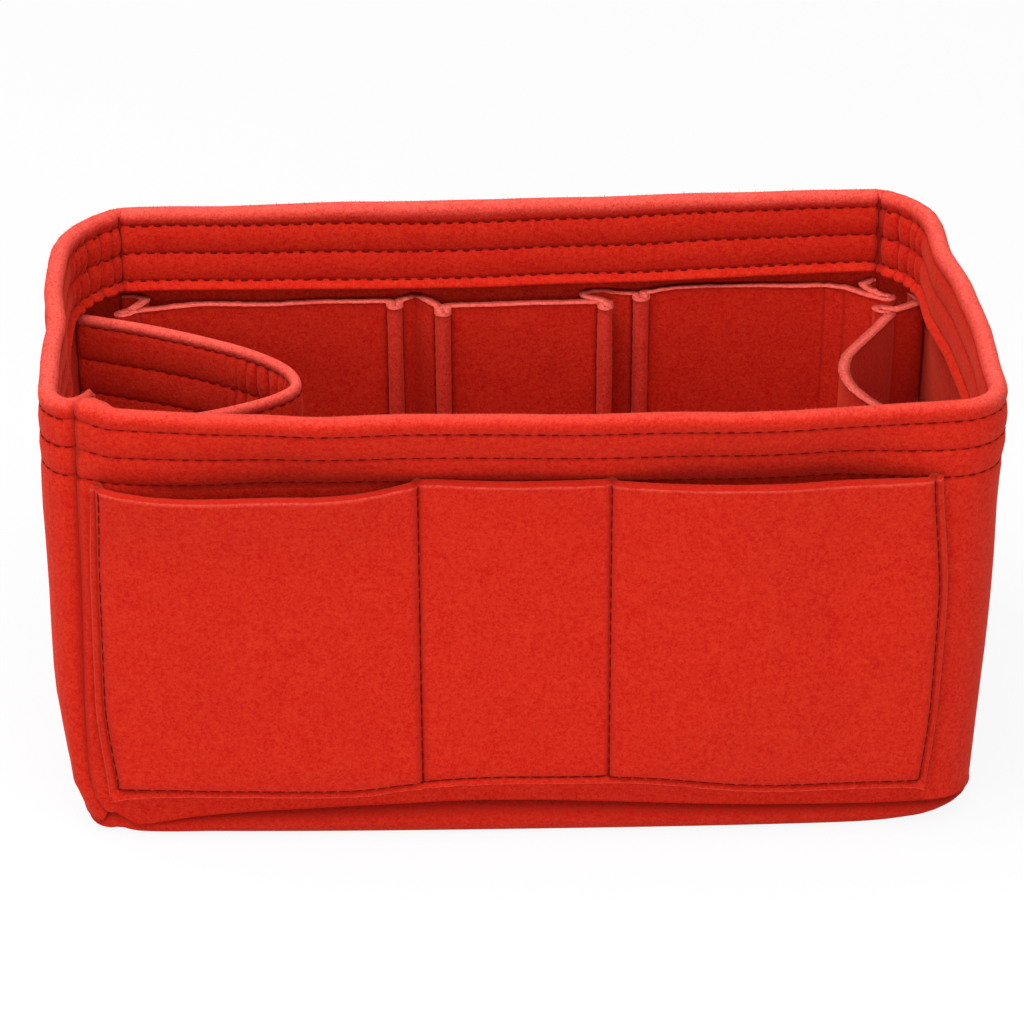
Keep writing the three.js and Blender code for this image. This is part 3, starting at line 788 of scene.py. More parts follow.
def fill(tree, made, **inputs):
    for name, value in inputs.items():
        feed(tree, made.inputs[name.replace("_", " ")], value)


def node(tree, kind, place, **inputs):
    """A new shader node, its inputs given by name."""
    made = tree.nodes.new("ShaderNode" + kind)
    made.location = place
    fill(tree, made, **inputs)
    return made


def math_node(tree, operation, place, *values):
    """The output of a new Math node, its inputs given in order."""
    made = node(tree, "Math", place)
    made.operation = operation
    for socket, value in zip(made.inputs, values):
        feed(tree, socket, value)
    return made.outputs[0]


def fibre_material(name, colour, depth, mottled, tinted=(), gloss=0.12, sheen=0.45):
    """Felt: paler and redder fibres in three sizes, a soft sheen and a fine bump.

    tinted holds the attributes of the mesh that mix in another colour, with that colour: a painted highlight
    and painted shade.
    """
    if name in bpy.data.materials:
        return bpy.data.materials[name]
    material = bpy.data.materials.new(name)
    material.use_nodes = True
    material.diffuse_color = (*colour, 1)
    tree = material.node_tree
    where = node(tree, "TexCoord", (-1300, 0)).outputs["Object"]
    textures = [node(tree, "TexNoise", (-1050, 250 - 250 * k), Vector=where, Scale=scale, Detail=detail,
                     Roughness=0.6) for k, (scale, detail) in enumerate(FIBRES)]
    fibres, flecks, clouds = (texture.outputs["Fac"] for texture in textures)
    pile = node(tree, "Mix", (-820, 150), Factor=0.45, A=fibres, B=flecks).outputs["Result"]
    mottle = node(tree, "Mix", (-620, 0), Factor=0.12, A=pile, B=clouds).outputs["Result"]
    tones = node(tree, "ValToRGB", (-420, 100), Fac=mottle)
    dark, light = tones.color_ramp.elements
    dark.position, light.position = 0.38, 0.62
    red, green, blue = colour
    for tone, more in ((dark, -mottled), (light, mottled)):
        tone.color = (min(1, red * (1 + 0.16 * more)), green * (1 + more), blue * (1 + more), 1)
    uneven = node(tree, "MapRange", (-420, 600), Value=mottle,
                  From_Min=0.4, From_Max=0.6, To_Min=0.45, To_Max=1).outputs["Result"]
    below = tones.outputs["Color"]
    for k, (attribute, other) in enumerate(tinted):
        painted_light = node(tree, "Attribute", (-420, 400 - 300 * k))
        painted_light.attribute_name = attribute
        share = math_node(tree, "MULTIPLY", (-250, 500 - 300 * k), painted_light.outputs["Fac"], uneven)
        mixed = node(tree, "Mix", (-100, 250 - 300 * k))
        mixed.data_type = "RGBA"
        first, second = (socket for socket in mixed.inputs if socket.type == "RGBA")
        for socket, value in ((mixed.inputs["Factor"], share), (first, below), (second, (*other, 1))):
            feed(tree, socket, value)
        below = next(socket for socket in mixed.outputs if socket.type == "RGBA")
    bump = node(tree, "Bump", (-420, -250), Strength=depth, Distance=0.0008, Height=pile)
    fill(tree, tree.nodes["Principled BSDF"], Base_Color=below, Normal=bump.outputs["Normal"], Roughness=0.92,
         Specular_IOR_Level=gloss, Sheen_Weight=sheen, Sheen_Roughness=0.45, Sheen_Tint=(1, 0.12, 0.07, 1))
    return material


def felt_material():
    felt = settings("felt")
    # Mixes a painted highlight into the rims, fold tips and raw edges, and painted shade along stitches,
    # seams, creases, corner grooves and under the walls' feet
    return fibre_material("red_felt", tuple(felt.colour), 0.5, 0.75,
                          (("nap", tuple(felt.nap_and_highlight_colour)), ("seam", tuple(felt.painted_shade_colour))))


def cut_edge_material():
    # Paler raw fibres, with a painted highlight
    return fibre_material("red_felt_cut_edge", tuple(settings("felt").cut_edge_highlight_colour), 1, 0.6)


def thread_material():
    # The thread is dark as painted shade of its sunk needle holes
    thread = tuple(settings("felt").shaded_thread_colour)
    return fibre_material("sewing_thread", thread, 0.3, 0.3, gloss=0.05, sheen=0)


# Operators

class PieceOperator:
    bl_options = {"REGISTER", "UNDO"}

    def execute(self, context):
        self.make(context)
        return {"FINISHED"}


class ORGANIZER_OT_walls(PieceOperator, bpy.types.Operator):
    """Three wall sheets with their folded hems and rows of stitches"""
    bl_idname = "organizer.walls"
    bl_label = "Walls"

    FOOT_TUCK = -0.5  # inset of a foot, which stands out a little
    FOOT_GAP = 0.15  # height of a foot over the bottom seam
    CORNER = (2.4, 1.2)  # radius and depth of an end that turns into a seam
    FRONT_END = (2.4, 2.4)
    LEFT_END = (7, 9)
    LEFT_DENTS = ((1.8, -4, 15), (1.0, 42, 16))  # depth of each dent in a rim, its place and width
    RIGHT_DENTS = ((1.8, 32, 15), (-0.7, -25, 20))
    DENT_HEIGHTS = (70, 150)
    LEFT_SAG = ((0.8, 55, 45),)  # how far the left wall stands out, height and reach
    RIGHT_WALL = (-10, 25)  # where the right wall begins, along the line from the front's end
    RIGHT_DRAW = ((1.3, 142, 115), (0.8, 60, 20))  # how far it is drawn in between two heights
    RIGHT_DRAW_SPAN = (70, 20)  # where that begins and is full
    SEWN = (0.45, 3.5, 0.6)  # depth of the front-left seam's needle holes, and where they begin and are full
    HOLLOW = 1.8  # how far the front stands back behind the pockets
    HOLLOW_SPAN = (-132, -105, 105, 131)
    HOLLOW_HEIGHTS = (60, 90, 127, 131.5)
    FRONT_LIMIT = -20  # what lies before this is drawn in with the front
    LUMP = 3.8  # how far the hem's folded end stands in
    LUMP_SPAN = (0.3, 2.2, 6, 14)
    LUMP_DROPS = (22, 3)  # distances from the rim where it begins and is full
    MEETING = (2.2, 0.8)  # depth at which two hems meet: in thicknesses of felt, and as a share of the slack
    GROOVE_EDGE = (1.25, 0.9)  # how far a groove reaches past that, and its soft edge
    SEAM_SHADE = 0.85  # share of painted shade on a wall at the front-left seam
    FRONT_SEAM_SHADE = (1.5, 0)
    LEFT_SEAM_SHADE = (5, 1)
    SLACK_RIGHT, SLACK_LEFT = (125, 60), (-150, -120)  # places across where a hem's slack ends and is full
    SETTLE = ((0.7, 40, 105), (0.5, -70, -105))  # height that the back's rows gain between two places across
    SETTLE_MIDDLE = ((0.9, -15, 45),)  # height that they lose, place and width

    def left_swell(self, at, z):
        """Soft dents in the left rim, and the wall's slack below it."""
        y = self.plan.left_line.point(at)[..., 1]
        return bells(y, self.LEFT_DENTS) * smooth(*self.DENT_HEIGHTS, z) - bells(z, self.LEFT_SAG)

    def front_swell(self, at, z):
        """The right wall's dents in the rim, that wall drawn in below it, and the front behind its panel."""
        point, end = self.plan.front_and_right.point(at), self.plan.front_line.length
        x, y = point[..., 0], point[..., 1]
        start, full = self.RIGHT_WALL
        dents = bells(y, self.RIGHT_DENTS) * smooth(*self.DENT_HEIGHTS, z)
        drawn = climbs(z, self.RIGHT_DRAW) * smooth(*self.RIGHT_DRAW_SPAN, y)
        depth, *reach = self.SEWN
        sewn = depth * smooth(*reach, at) * np.cos(2 * math.pi * z / size("felt", "stitch"))
        pockets = plateau(x, *self.HOLLOW_SPAN) * (y < 0)
        hollow = self.HOLLOW * pockets * plateau(z, *self.HOLLOW_HEIGHTS)
        front = (y < self.FRONT_LIMIT) * self.plan.front_draw(x, z)
        return smooth(end + start, end + full, at) * (dents + drawn) + sewn + hollow + front

    def front_fold(self, at, z):
        """The hem's end, folded over into a lump behind the front-left seam."""
        lump = plateau(at, *self.LUMP_SPAN) * (1 + 0.12 * np.sin(at * 1.6 + z / 2))
        return self.LUMP * lump * smooth(*self.LUMP_DROPS, self.plan.height - z)

    def drawn_back(self, away, first, second, slack):
        """Share of the groove at a distance from the corner seam between two lines' ends."""
        turn = math.acos(np.clip(np.dot(first.headings[-1], second.headings[0]), -1, 1))
        layers, share = self.MEETING
        meeting = (layers * size("felt", "thickness") + share * slack) * math.tan(turn / 2)
        past, edge = self.GROOVE_EDGE
        return np.clip((meeting + past - away) / edge, 0, 1)

    def seam_shade_at(self, line, at):
        """Share of painted shade on a wall beside the front-left seam."""
        if line is self.plan.front_and_right:
            return self.SEAM_SHADE * smooth(*self.FRONT_SEAM_SHADE, at)
        if line is self.plan.left_line:
            return self.SEAM_SHADE * smooth(*self.LEFT_SEAM_SHADE, line.length - at)
        return 0

    def hang(self, line, at):
        """Slack of a wall's hem and the height that its rows gain, along its line."""
        x = line.point(at)[:, 0]
        slack = size("hem", "slack") * smooth(*self.SLACK_RIGHT, x)
        if line is not self.plan.back_line:
            return slack * smooth(*self.SLACK_LEFT, x), 0
        return slack, climbs(x, self.SETTLE) - bells(x, self.SETTLE_MIDDLE)

    def make(self, context):
        plan = self.plan = Plan()
        stitching = Stitching()
        front, back, left = plan.front_and_right, plan.back_line, plan.left_line
        # name, line, ends, start, end and share of each run of puckers, further insets
        sheets = (
            ("front_and_right_wall", front, self.FRONT_END, self.CORNER,
             ((front.length - 27, front.length, 1), (0.565 * front.length, 0.63 * front.length, 0.4)),
             self.front_swell, self.front_fold),
            ("back_wall", back, self.CORNER, self.CORNER, (), None, None),
            ("left_wall", left, self.CORNER, self.LEFT_END,
             ((0, 33, 1), (0.86 * left.length, 0.97 * left.length, 0.5)), self.left_swell, None),
        )
        for name, line, first, last, bends, swell, fold in sheets:
            at = fine_columns(line.length, crowded=[bend[:2] for bend in bends])
            pucker = sum((share * plateau(at, start - 4, start + 1, end - 4, end + 4)
                          for start, end, share in bends), np.zeros(at.shape))
            slack, settle = self.hang(line, at)
            groove = np.zeros(at.shape)
            if line is not front:
                groove += self.drawn_back(at, front if line is back else back, line, slack[0])
            if line is not left:
                groove += self.drawn_back(line.length - at, line, back if line is front else left, slack[-1])
            sheet = HemmedSheet(plan, line, at, plan.seam_height(line.point(at)) + self.FOOT_GAP, plan.height,
                                tuck=end_tuck(at, line.length, first, last), pucker=pucker, groove=groove,
                                swell=swell, fold=fold, foot_tuck=self.FOOT_TUCK, slack=slack, settle=settle,
                                seam_shade=self.seam_shade_at(line, at))
            obj = sheet.build(name + "_felt")
            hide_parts(name)
            sheet.stitch(stitching)
        stitching.finish("wall_stitches")


class ORGANIZER_OT_bottom(PieceOperator, bpy.types.Operator):
    """Bottom panel, turned up all round to the low seam under the walls"""
    bl_idname = "organizer.bottom"
    bl_label = "Bottom"

    STEP = 2.5  # between two points of the outline
    TUCK = 3.5  # how far the turned-up edge is tucked in at the seam
    # the turned-up edge from its top: share of the tuck, height from the seam
    TURN_UP = ((1, 0.8), (1, -0.2), (0.63, -0.9), (0.29, -2), (0.08, -3.3))
    TURN_ANGLES = (15, 40, 65, 90)  # round its lower edge
    LEAST = 0.12  # share of its height that is left at least where the seam is low
    FOOT_SHADOW = (0.95, 0.95, 0.95, 0.75, 0.3)  # shares of painted shadow on the turned-up edge under the walls' feet, from the top
    SPINE = 0.55  # length of the floor's middle line as a share of the floor
    FLOOR_SHARES = (0.04, 0.15, 0.35, 0.6, 0.85)  # places of the floor's rings between its edge and that line

    def make(self, context):
        plan = Plan()
        lines = (plan.front_and_right, plan.back_line, plan.left_line)
        counts = [round(line.length / self.STEP) for line in lines]
        outline = np.concatenate([line.point(np.linspace(0, line.length, count + 1)[:-1])
                                  for line, count in zip(lines, counts)])
        closed = PlanLine(np.concatenate((outline[-1:], outline, outline[:1])))
        inward = np.stack((-closed.headings[1:-1, 1], closed.headings[1:-1, 0]), axis=-1)
        half = size("felt", "thickness") / 2
        high = size("box", "seam_height")
        radius = size("box", "edge_round") - half
        profile = [(half + share * self.TUCK, high + rise) for share, rise in self.TURN_UP]
        profile += [(half + radius - radius * math.cos(a), half + radius - radius * math.sin(a))
                    for a in np.radians(self.TURN_ANGLES)]
        share = np.clip((plan.seam_height(outline) - half) / (high - half), self.LEAST, None)
        rings = [plan.leaned(outline + inward * inset, half + (z - half) * share) for inset, z in profile]
        floor = outline + inward * profile[-1][0]
        spine = floor * (self.SPINE, 0) + (0, floor[:, 1].mean())
        level = np.full(len(floor), half)
        rings += [plan.leaned(lerp(floor, spine, share), level) for share in self.FLOOR_SHARES]
        middle = np.stack(rings, axis=1)
        middle = np.concatenate((middle, middle[:1]))
        around = np.concatenate((closed.along[1:-1], closed.along[-1:]))
        reach = size("box", "rim_depth") / 2
        inwards = np.array([inset for inset, z in profile]
                           + [profile[-1][0] + reach * share for share in self.FLOOR_SHARES])
        painted_shade = np.zeros(len(rings))
        painted_shade[:len(self.FOOT_SHADOW)] = self.FOOT_SHADOW
        obj = felt_sheet("bottom_felt", middle, np.ones(middle.shape[:2]), around, inwards, seam=painted_shade,
                         closed=True)
        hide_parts("bottom_panel")


class ORGANIZER_OT_front_pockets(PieceOperator, bpy.types.Operator):
    """Panel on the front, sewn down at both ends, along its foot and between its three pockets"""
    bl_idname = "organizer.front_pockets"
    bl_label = "Front pockets"

    SHARES = (0.374, 0.233, 0.393)  # of the panel's width that each pocket takes
    BOWS = ("left_bow", "centre_bow", "right_bow")
    SHOULDERS = (1, 0.55, 1)  # shares of the shoulder that each pocket has
    NEAR_LINE = (0.25, 0.5, 0.9, 1.5, 2.5, 4)  # distances from a line of stitches that are modelled
    UNDER_FOOT = (0, 0.25, 0.6, 1.2, 2)  # the same under the foot's line
    EDGE = 0.4  # the same from a raw edge
    STEP = 1.75  # between two columns elsewhere
    PRESS = 1.6  # how far a line of stitches pulls the panel in
    VALLEY = 0.6  # width of that pull
    PRESSED = 0.3  # share of the thickness that it takes
    HOLES = 0.2  # share by which it is deeper at the needle holes
    LINE_END = 0.5  # how far a line goes on past its last stitch
    SHADE = (1.3, 1.1)  # widths of the painted shade along the upright lines and the foot's
    MOUTH_SHADE = 0.3
    EDGE_HIGHLIGHTS = (0.45, 0.6, 0.4)  # shares of painted highlight at the mouths, the ends and the foot
    UNEVEN = ((30, 0.5), (8, 0.1))  # size and depth of the slow and the fine unevenness
    FRAY = (2.2, 0.2)  # the same of a raw edge
    LEFT_SWELL = ((2.9, 12, 55), (-0.9, 100, 131))  # how far an end swells out between two heights
    RIGHT_SWELL = ((4.2, 138, 85), (-1.9, 50, 12))
    LEFT_REACH = 0.6  # how far the left end stands out all the way up
    DRAWN_UP = (5, 7, 53)  # how far the foot rises in the middle, place and reach
    HANGING = ((2.2, 8), (1.8, 3))  # how far the lower left and right corners hang, and their reach
    LOW_MOUTH = (2, 8, -20)  # how far the left mouth is lower, from and to which place beside its line
    LONG_STITCH = (0.86, 1.04)  # a stitch's share of its step, nearly whole, so that the dark thread paints the stitched groove's shade
    SUNK = 0.11  # share of the felt by which a stitch is sunk
    OUTWARD = (0, -1, 0.1)

    def prepare(self):
        self.plan = Plan()
        self.line = self.plan.front_line
        self.felt = size("felt", "thickness")
        self.start = self.plan.left + size("front", "left")
        self.end = self.plan.right - size("front", "right")
        self.lip = size("front", "lip")
        self.low = size("front", "bottom")
        self.foot = self.low + self.lip
        self.top = self.plan.height - size("front", "drop")
        edges = lerp(self.start, self.end, np.cumsum((0, *self.SHARES)))
        self.lines = np.array((self.start + self.lip, edges[1], edges[2], self.end - self.lip))

    def from_line(self, x):
        """Distances from the nearest upright line of stitches."""
        return np.min(np.abs(x[..., None] - self.lines), axis=-1)

    def on_lines(self, x, z, upright, level):
        """Shares at the upright lines and at the foot's line, only where these are sewn."""
        low, high = self.lines[0] - self.LINE_END, self.lines[-1] + self.LINE_END
        return upright * (z > self.foot - self.LINE_END), level * ((x > low) & (x < high))

    def valley(self, away):
        return np.exp(-np.abs(away) / self.VALLEY)

    def lift(self, x, z):
        """How far the panel's back stands off the wall at places across and heights."""
        rise = np.clip((z - self.foot) / (self.top - self.foot), 0, 1)
        inside = (x > self.lines[0]) & (x < self.lines[-1]) & (z > self.foot)
        bow, shoulder = np.zeros((2, *np.broadcast(x, z).shape))
        for k, (most, full) in enumerate(zip(self.BOWS, self.SHOULDERS)):
            share = (x - self.lines[k]) / (self.lines[k + 1] - self.lines[k])
            within = (share > 0) & (share < 1)
            wave = np.sin(math.pi * np.clip(share, 0, 1))
            bow += within * size("front", most) * wave ** 0.85 * (1 - (1 - rise) ** 2)
            shoulder += within * full
        near = (1 - self.valley(self.from_line(x))) * (1 - self.valley(z - self.foot))
        raised = inside * (bow + size("front", "shoulder") * shoulder * near)
        outside = np.maximum.reduce((self.lines[0] - x, x - self.lines[-1], self.foot - z + 0 * x))
        flare = size("front", "lip_flare") * np.clip(outside / self.lip, 0, 1) ** 0.6
        return size("felt", "sewn_gap") + raised + flare - self.PRESS * self.pull(x, z)

    def pull(self, x, z):
        """Share of the pull of the nearest line of stitches."""
        upright, level = self.on_lines(x, z, self.valley(self.from_line(x)), self.valley(z - self.foot))
        holes = self.HOLES * np.cos(2 * math.pi * z / size("felt", "stitch")) * upright
        return np.maximum(upright, level) * (1 + holes)

    def painted_shade(self, x, z):
        """Share of painted shade along the lines of stitches and on the mouths' raw edges."""
        upright, level = self.SHADE
        rows = self.on_lines(x, z, bell(self.from_line(x), upright), bell(z - self.foot, level))
        return np.maximum.reduce((*rows, self.MOUTH_SHADE * (z > self.top - 0.1)))

    def painted_light(self, x, z):
        """Share of painted highlight along the panel's raw edges."""
        edges = (np.abs(z - self.top + self.EDGE) < 0.1,
                 (x < self.start + 0.1) | (x > self.end - 0.1), z < self.low + 0.1)
        return np.maximum.reduce([share * edge for share, edge in zip(self.EDGE_HIGHLIGHTS, edges)])

    def places(self, x, z, out):
        at = np.interp(self.across(x, z), self.line.points[:, 0], self.line.along)
        up = self.height(x, z)
        return self.plan.leaned(self.line.beside(at, self.plan.front_draw(x, up) - out), up)

    def across(self, x, z):
        """Places across, with the two ends swelling out above their drawn-in feet."""
        left, right = self.LEFT_REACH + climbs(z, self.LEFT_SWELL), climbs(z, self.RIGHT_SWELL)
        return (x - left * smooth(self.lines[1], self.start, x)
                + right * smooth(self.lines[2], self.end, x))

    def height(self, x, z):
        """Heights, with the foot drawn up in the middle, its corners hanging and the left mouth lower."""
        rise = np.clip((z - self.low) / (self.top - self.low), 0, 1)
        most, place, reach = self.DRAWN_UP
        drawn_up = most * np.exp(-((x - place) / reach) ** 4) * (1 - rise) ** 2
        (left, left_reach), (right, right_reach) = self.HANGING
        hanging = left * np.exp((self.start - x) / left_reach) + right * np.exp((x - self.end) / right_reach)
        drop, start, full = self.LOW_MOUTH
        low_mouth = drop * rise * smooth(self.lines[1] + start, self.lines[1] + full, x)
        return z + drawn_up - hanging * smooth(self.foot + 1, self.low, z) - low_mouth

    def make(self, context):
        self.prepare()
        near = np.array(self.NEAR_LINE)
        xs = [np.arange(self.start, self.end, self.STEP), self.lines,
              (self.start + self.EDGE, self.end - self.EDGE, self.end)]
        xs += [line + side * near for line in self.lines for side in (-1, 1)]
        xs = np.unique(np.round(np.concatenate(xs), 2))
        xs = thinned(xs[(xs >= self.start) & (xs <= self.end)])
        zs = [np.arange(self.foot + near[-1], self.top - 1, size("felt", "stitch") / 3),
              self.foot + near[:-1], self.foot - np.array(self.UNDER_FOOT),
              (self.low, self.low + self.EDGE, self.top - self.EDGE, self.top)]
        zs = np.unique(np.round(np.concatenate(zs), 2))
        x, z = np.meshgrid(xs, zs, indexing="ij")
        pressed = 1 - self.PRESSED * self.pull(x, z)
        places = self.places(x, z, self.lift(x, z) + self.felt / 2)
        uneven = ripples(places, self.UNEVEN)
        places[..., 1] -= uneven * smooth(0.5, 6, self.from_line(x))
        edge = (z > self.top - 0.2) | (z < self.low + 0.2)
        places[..., 2] += edge * ripple(places, *self.FRAY)
        for outermost in (pressed[0], pressed[-1], pressed[:, 0]):
            soften(outermost)
        soften(pressed[:, -1], 0.9)
        obj = felt_sheet("front_pocket_felt", places, pressed, xs - xs[0], zs - zs[0],
                         nap=self.painted_light(x, z), seam=self.painted_shade(x, z), pale_edge=False)
        stitching = Stitching(share=self.LONG_STITCH)
        stitching.lay_on(obj)
        self.stitch(stitching)
        stitches = stitching.finish("front_pocket_stitches")
        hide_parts("front_pocket_panel")

    def stitch(self, stitching):
        """Stitches up the four upright lines and along the foot."""
        def holes(start, end, length):
            return np.linspace(start, end, round(length / size("felt", "stitch")) + 1)

        z = holes(self.foot, self.top - self.EDGE, self.top - self.foot)
        x = holes(self.lines[0], self.lines[-1], self.lines[-1] - self.lines[0])
        upright = [(np.full(z.shape, line), z) for line in self.lines]
        for across, up in upright + [(x, np.full(x.shape, self.foot))]:
            out = self.lift(across, up) + self.felt * (1 - self.SUNK * self.pull(across, up))
            points = self.places(across, up, out)
            stitching.line(points, np.tile(self.OUTWARD, (len(points), 1)))


def dense(points, step):
    """A plan line with more points on its long runs."""
    made = [points[0]]
    for start, end in zip(points[:-1], points[1:]):
        count = max(1, math.ceil(np.linalg.norm(end - start) / step))
        made += [lerp(start, end, k / count) for k in range(1, count + 1)]
    return np.array(made)


def with_columns(points, places):
    """A plan line with further points where it first passes some places across."""
    for x in places:
        k = next(k for k in range(len(points) - 1) if points[k, 0] < x < points[k + 1, 0])
        share = (x - points[k, 0]) / (points[k + 1, 0] - points[k, 0])
        points = np.insert(points, k + 1, lerp(points[k], points[k + 1], share), axis=0)
    return points


def facing(degrees):
    """A unit vector of the plan."""
    return turned(np.array((1.0, 0.0)), math.radians(degrees))


class StandingStrip:
    """A strip of felt that stands on the bottom along a plan line, its top edge left raw.

    folds are the root, angle and length of each edge-stitched fold. low gives how far the top sinks at points
    of the line, and creases are the places across where the strip is creased and given painted shade.
    """

    ROW = 1.75  # between two rows of its mesh
    COLUMN = 2.5  # the most between two columns
    CREASE = 0.9  # half of a crease's width
    EDGE = 0.4  # from the raw edge to the row below it
    HELD = 10  # length at each end that is sewn flat
    UNEVEN = ((28, 0.45), (7, 0.1))  # size and depth of its slow and its fine unevenness
    TOP_WAVE = (22, 0.5)  # the same of its top's height
    FRAY = (2.0, 0.25)  # the same of its raw edge
    FRAYED = (1.1, 1.3)  # shares of the thickness in the two rows at the raw edge
    CREASE_SHADE = 0.4
    SHUT = 0.87  # share of the thickness that is left in a fold
    TIP_HIGHLIGHT = 0.2  # share of painted highlight on raised fibres at a fold's tip

    def __init__(self, plan, corners, folds, low=None, creases=()):
        self.plan, self.folds, self.low = plan, folds, low or (lambda points: np.zeros(len(points)))
        self.creases = creases
        beside = [place + side for place in creases for side in (-self.CREASE, self.CREASE)]
        self.line = PlanLine(with_columns(dense(rounded(corners), self.COLUMN), beside))
        self.foot = size("felt", "thickness") + size("felt", "sewn_gap")
        self.top = plan.height - size("hem", "depth") - size("strip", "drop")

    def sewn(self, name):
        """The strip and its stitches as two objects."""
        obj = self.build(name + "_felt")
        stitching = Stitching(reach=1)
        stitching.lay_on(obj)
        self.stitch_folds(stitching)
        return obj, stitching.finish(name + "_stitches")

    def build(self, name):
        heights = np.concatenate((np.arange(self.foot, self.top - 3 * self.EDGE, self.ROW),
                                  (self.top - self.EDGE, self.top)))
        points, along, length = self.line.points, self.line.along, self.line.length
        z = heights * (1 - self.low(points) / self.top)[:, None]
        places = self.plan.leaned(np.broadcast_to(points[:, None, :], (*z.shape, 2)), z)
        free = plateau(along, 0, self.HELD, length - self.HELD, length)[:, None]
        uneven = ripples(places, self.UNEVEN) * free
        places[..., :2] += self.line.inward(along)[:, None, :] * uneven[..., None]
        edge = heights > self.top - self.EDGE / 2
        places[..., 2] += edge * ripple(places, *self.FRAY) + ripple(places, *self.TOP_WAVE) * (z / self.top)
        pressed, nap = self.closed_folds()
        pressed = np.tile(pressed[:, None], len(heights))
        pressed[:, -2:] *= self.FRAYED
        # Painted shade along the creases
        seam = sum((self.CREASE_SHADE * (np.abs(points[:, 0] - place) < 0.5) for place in self.creases),
                   np.zeros(len(points)))
        self.flat = (length * MM, (self.top - self.foot) * MM)
        return felt_sheet(name, places, pressed, along, heights - heights[0], nap[:, None], seam[:, None])

    def closed_folds(self):
        """Shares along the line of the thickness left where folds are sewn shut, and of painted highlight on
        their tips.
        """
        share, nap = np.ones(len(self.line.points)), np.zeros(len(self.line.points))
        for x, y, angle, length in self.folds:
            out = facing(angle)
            away = self.line.points - (x, y)
            along, aside = away @ out, away @ left_of(out)
            within = (along > -0.5) & (along < length + 2) & (np.abs(aside) < 2)
            share[within] = self.SHUT
            nap += within * self.TIP_HIGHLIGHT * smooth(length - 2.5, length + 0.5, along)
        return share, nap

    def stitch_folds(self, stitching):
        """Stitches up both flanks of each edge-stitched fold, just outside its root."""
        z = np.arange(self.foot + 2, self.top - 2.5, size("felt", "stitch"))
        for x, y, angle, length in self.folds:
            out = facing(angle)
            for side in (-1, 1):
                flank = np.array((x, y)) + out * 2 + left_of(out) * side * 2 * fold_radius()
                points = self.plan.leaned(np.broadcast_to(flank, (len(z), 2)), z)
                stitching.line(points, np.tile((*left_of(out) * side, 0), (len(z), 1)))


FOLD_ROOT = 0.8  # radius of the bend into a fold
FOLD_RADIUS = 0.435  # radius of a fold's tip in thicknesses of felt


def fold_radius():
    return size("felt", "thickness") * FOLD_RADIUS


def seat_depth():
    """Wall to the middle of a strip that is sewn to it."""
    return size("felt", "thickness") / 2 + size("felt", "sewn_gap")


def fold_corners(x, y, angle, length):
    """The four corners of an edge-stitched fold that stands out from its root along an angle."""
    out, root = facing(angle), np.array((x, y))
    tip = root + out * length
    aside = left_of(out) * fold_radius()
    return [(*(root - aside), FOLD_ROOT), (*(tip - aside), fold_radius()),
            (*(tip + aside), fold_radius()), (*(root + aside), FOLD_ROOT)]


class ORGANIZER_OT_back_strip(PieceOperator, bpy.types.Operator):
    """Pleated strip along the back: three pockets between edge-stitched folds"""
    bl_idname = "organizer.back_strip"
    bl_label = "Back pockets"

    PLEATS = (0.39, 0.6265)  # shares of the back wall from its left seam
    PLEAT_SEAT = 1.9  # half of the flat that is sewn down at the second pleat
    PLEAT_BENDS = (1.2, 1.6)  # radii of the bends at the pleats
    # place from the corner seam or from the pleat, depth from the wall, angle and length of each fold
    FOLDS = ((6.5, 12.8, 214, 7), (-7.5, 7.4, 270, 5.5), (8.8, 11.2, 270, 7),
             (2.4, 11, 270, 5.5), (15, 6.4, 270, 5.5), (-3.5, 13.5, 330, 6.5))
    LEFT_SLACK = ((0.243, 8.6, 40), (0.728, 6.2, 100))  # share of the pocket, depth, radius
    RIGHT_SLACK = ((0.308, 4.4, 60), (0.8, 5.4, 2.5), (0.89, 7.9, 2.5))
    SAG = 1.7  # how far the top sinks between the end pockets
    SAG_SPAN = (-115, -80, 38, 60)

    def make(self, context):
        plan = Plan()
        felt, bend = size("felt", "thickness"), size("strip", "bend")
        left, right = plan.back_left_seam[0], plan.back_right_seam[0]
        inner = plan.back - felt
        seat = inner - seat_depth()
        curl = inner - size("strip", "curl") - size("felt", "sewn_gap")
        first, second = (lerp(left, right, share) for share in self.PLEATS)
        starts = (left, first, first, second, second, right)
        folds = [(start + place, inner - depth, angle, length)
                 for start, (place, depth, angle, length) in zip(starts, self.FOLDS)]
        bends = [fold_corners(*fold) for fold in folds]

        def slack(low, high, spots):
            return [(lerp(folds[low][0], folds[high][0], share), inner - depth, radius)
                    for share, depth, radius in spots]

        tab, right_turn, pleat = size("strip", "end_tab"), size("strip", "right_end_tab"), self.PLEAT_SEAT
        left_tab, right_tab = left + felt / 2, right - felt / 2
        right_slack = slack(4, 5, self.RIGHT_SLACK)
        corners = [
            (left_tab, seat),
            (left_tab + tab - bend, seat, bend),
            (left_tab + tab + felt / 2, curl, bend),
            *bends[0],
            *slack(0, 1, self.LEFT_SLACK),
            *bends[1],
            (first, seat, self.PLEAT_BENDS[0]),
            *bends[2],
            *bends[3],
            (second - size("strip", "curl"), curl, bend),
            (second - pleat, seat, bend), (second + pleat, seat, self.PLEAT_BENDS[1]),
            *bends[4],
            *right_slack,
            *bends[5],
            (right_tab - right_turn - felt / 2, curl, bend),
            (right_tab - right_turn + bend, seat, bend),
            (right_tab, seat),
        ]
        strip = StandingStrip(plan, corners, folds, creases=[spot[0] for spot in right_slack[1:]],
                              low=lambda points: self.SAG * plateau(points[:, 0], *self.SAG_SPAN))
        obj, stitches = strip.sewn("back_strip")
        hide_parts("back_pocket_strip")


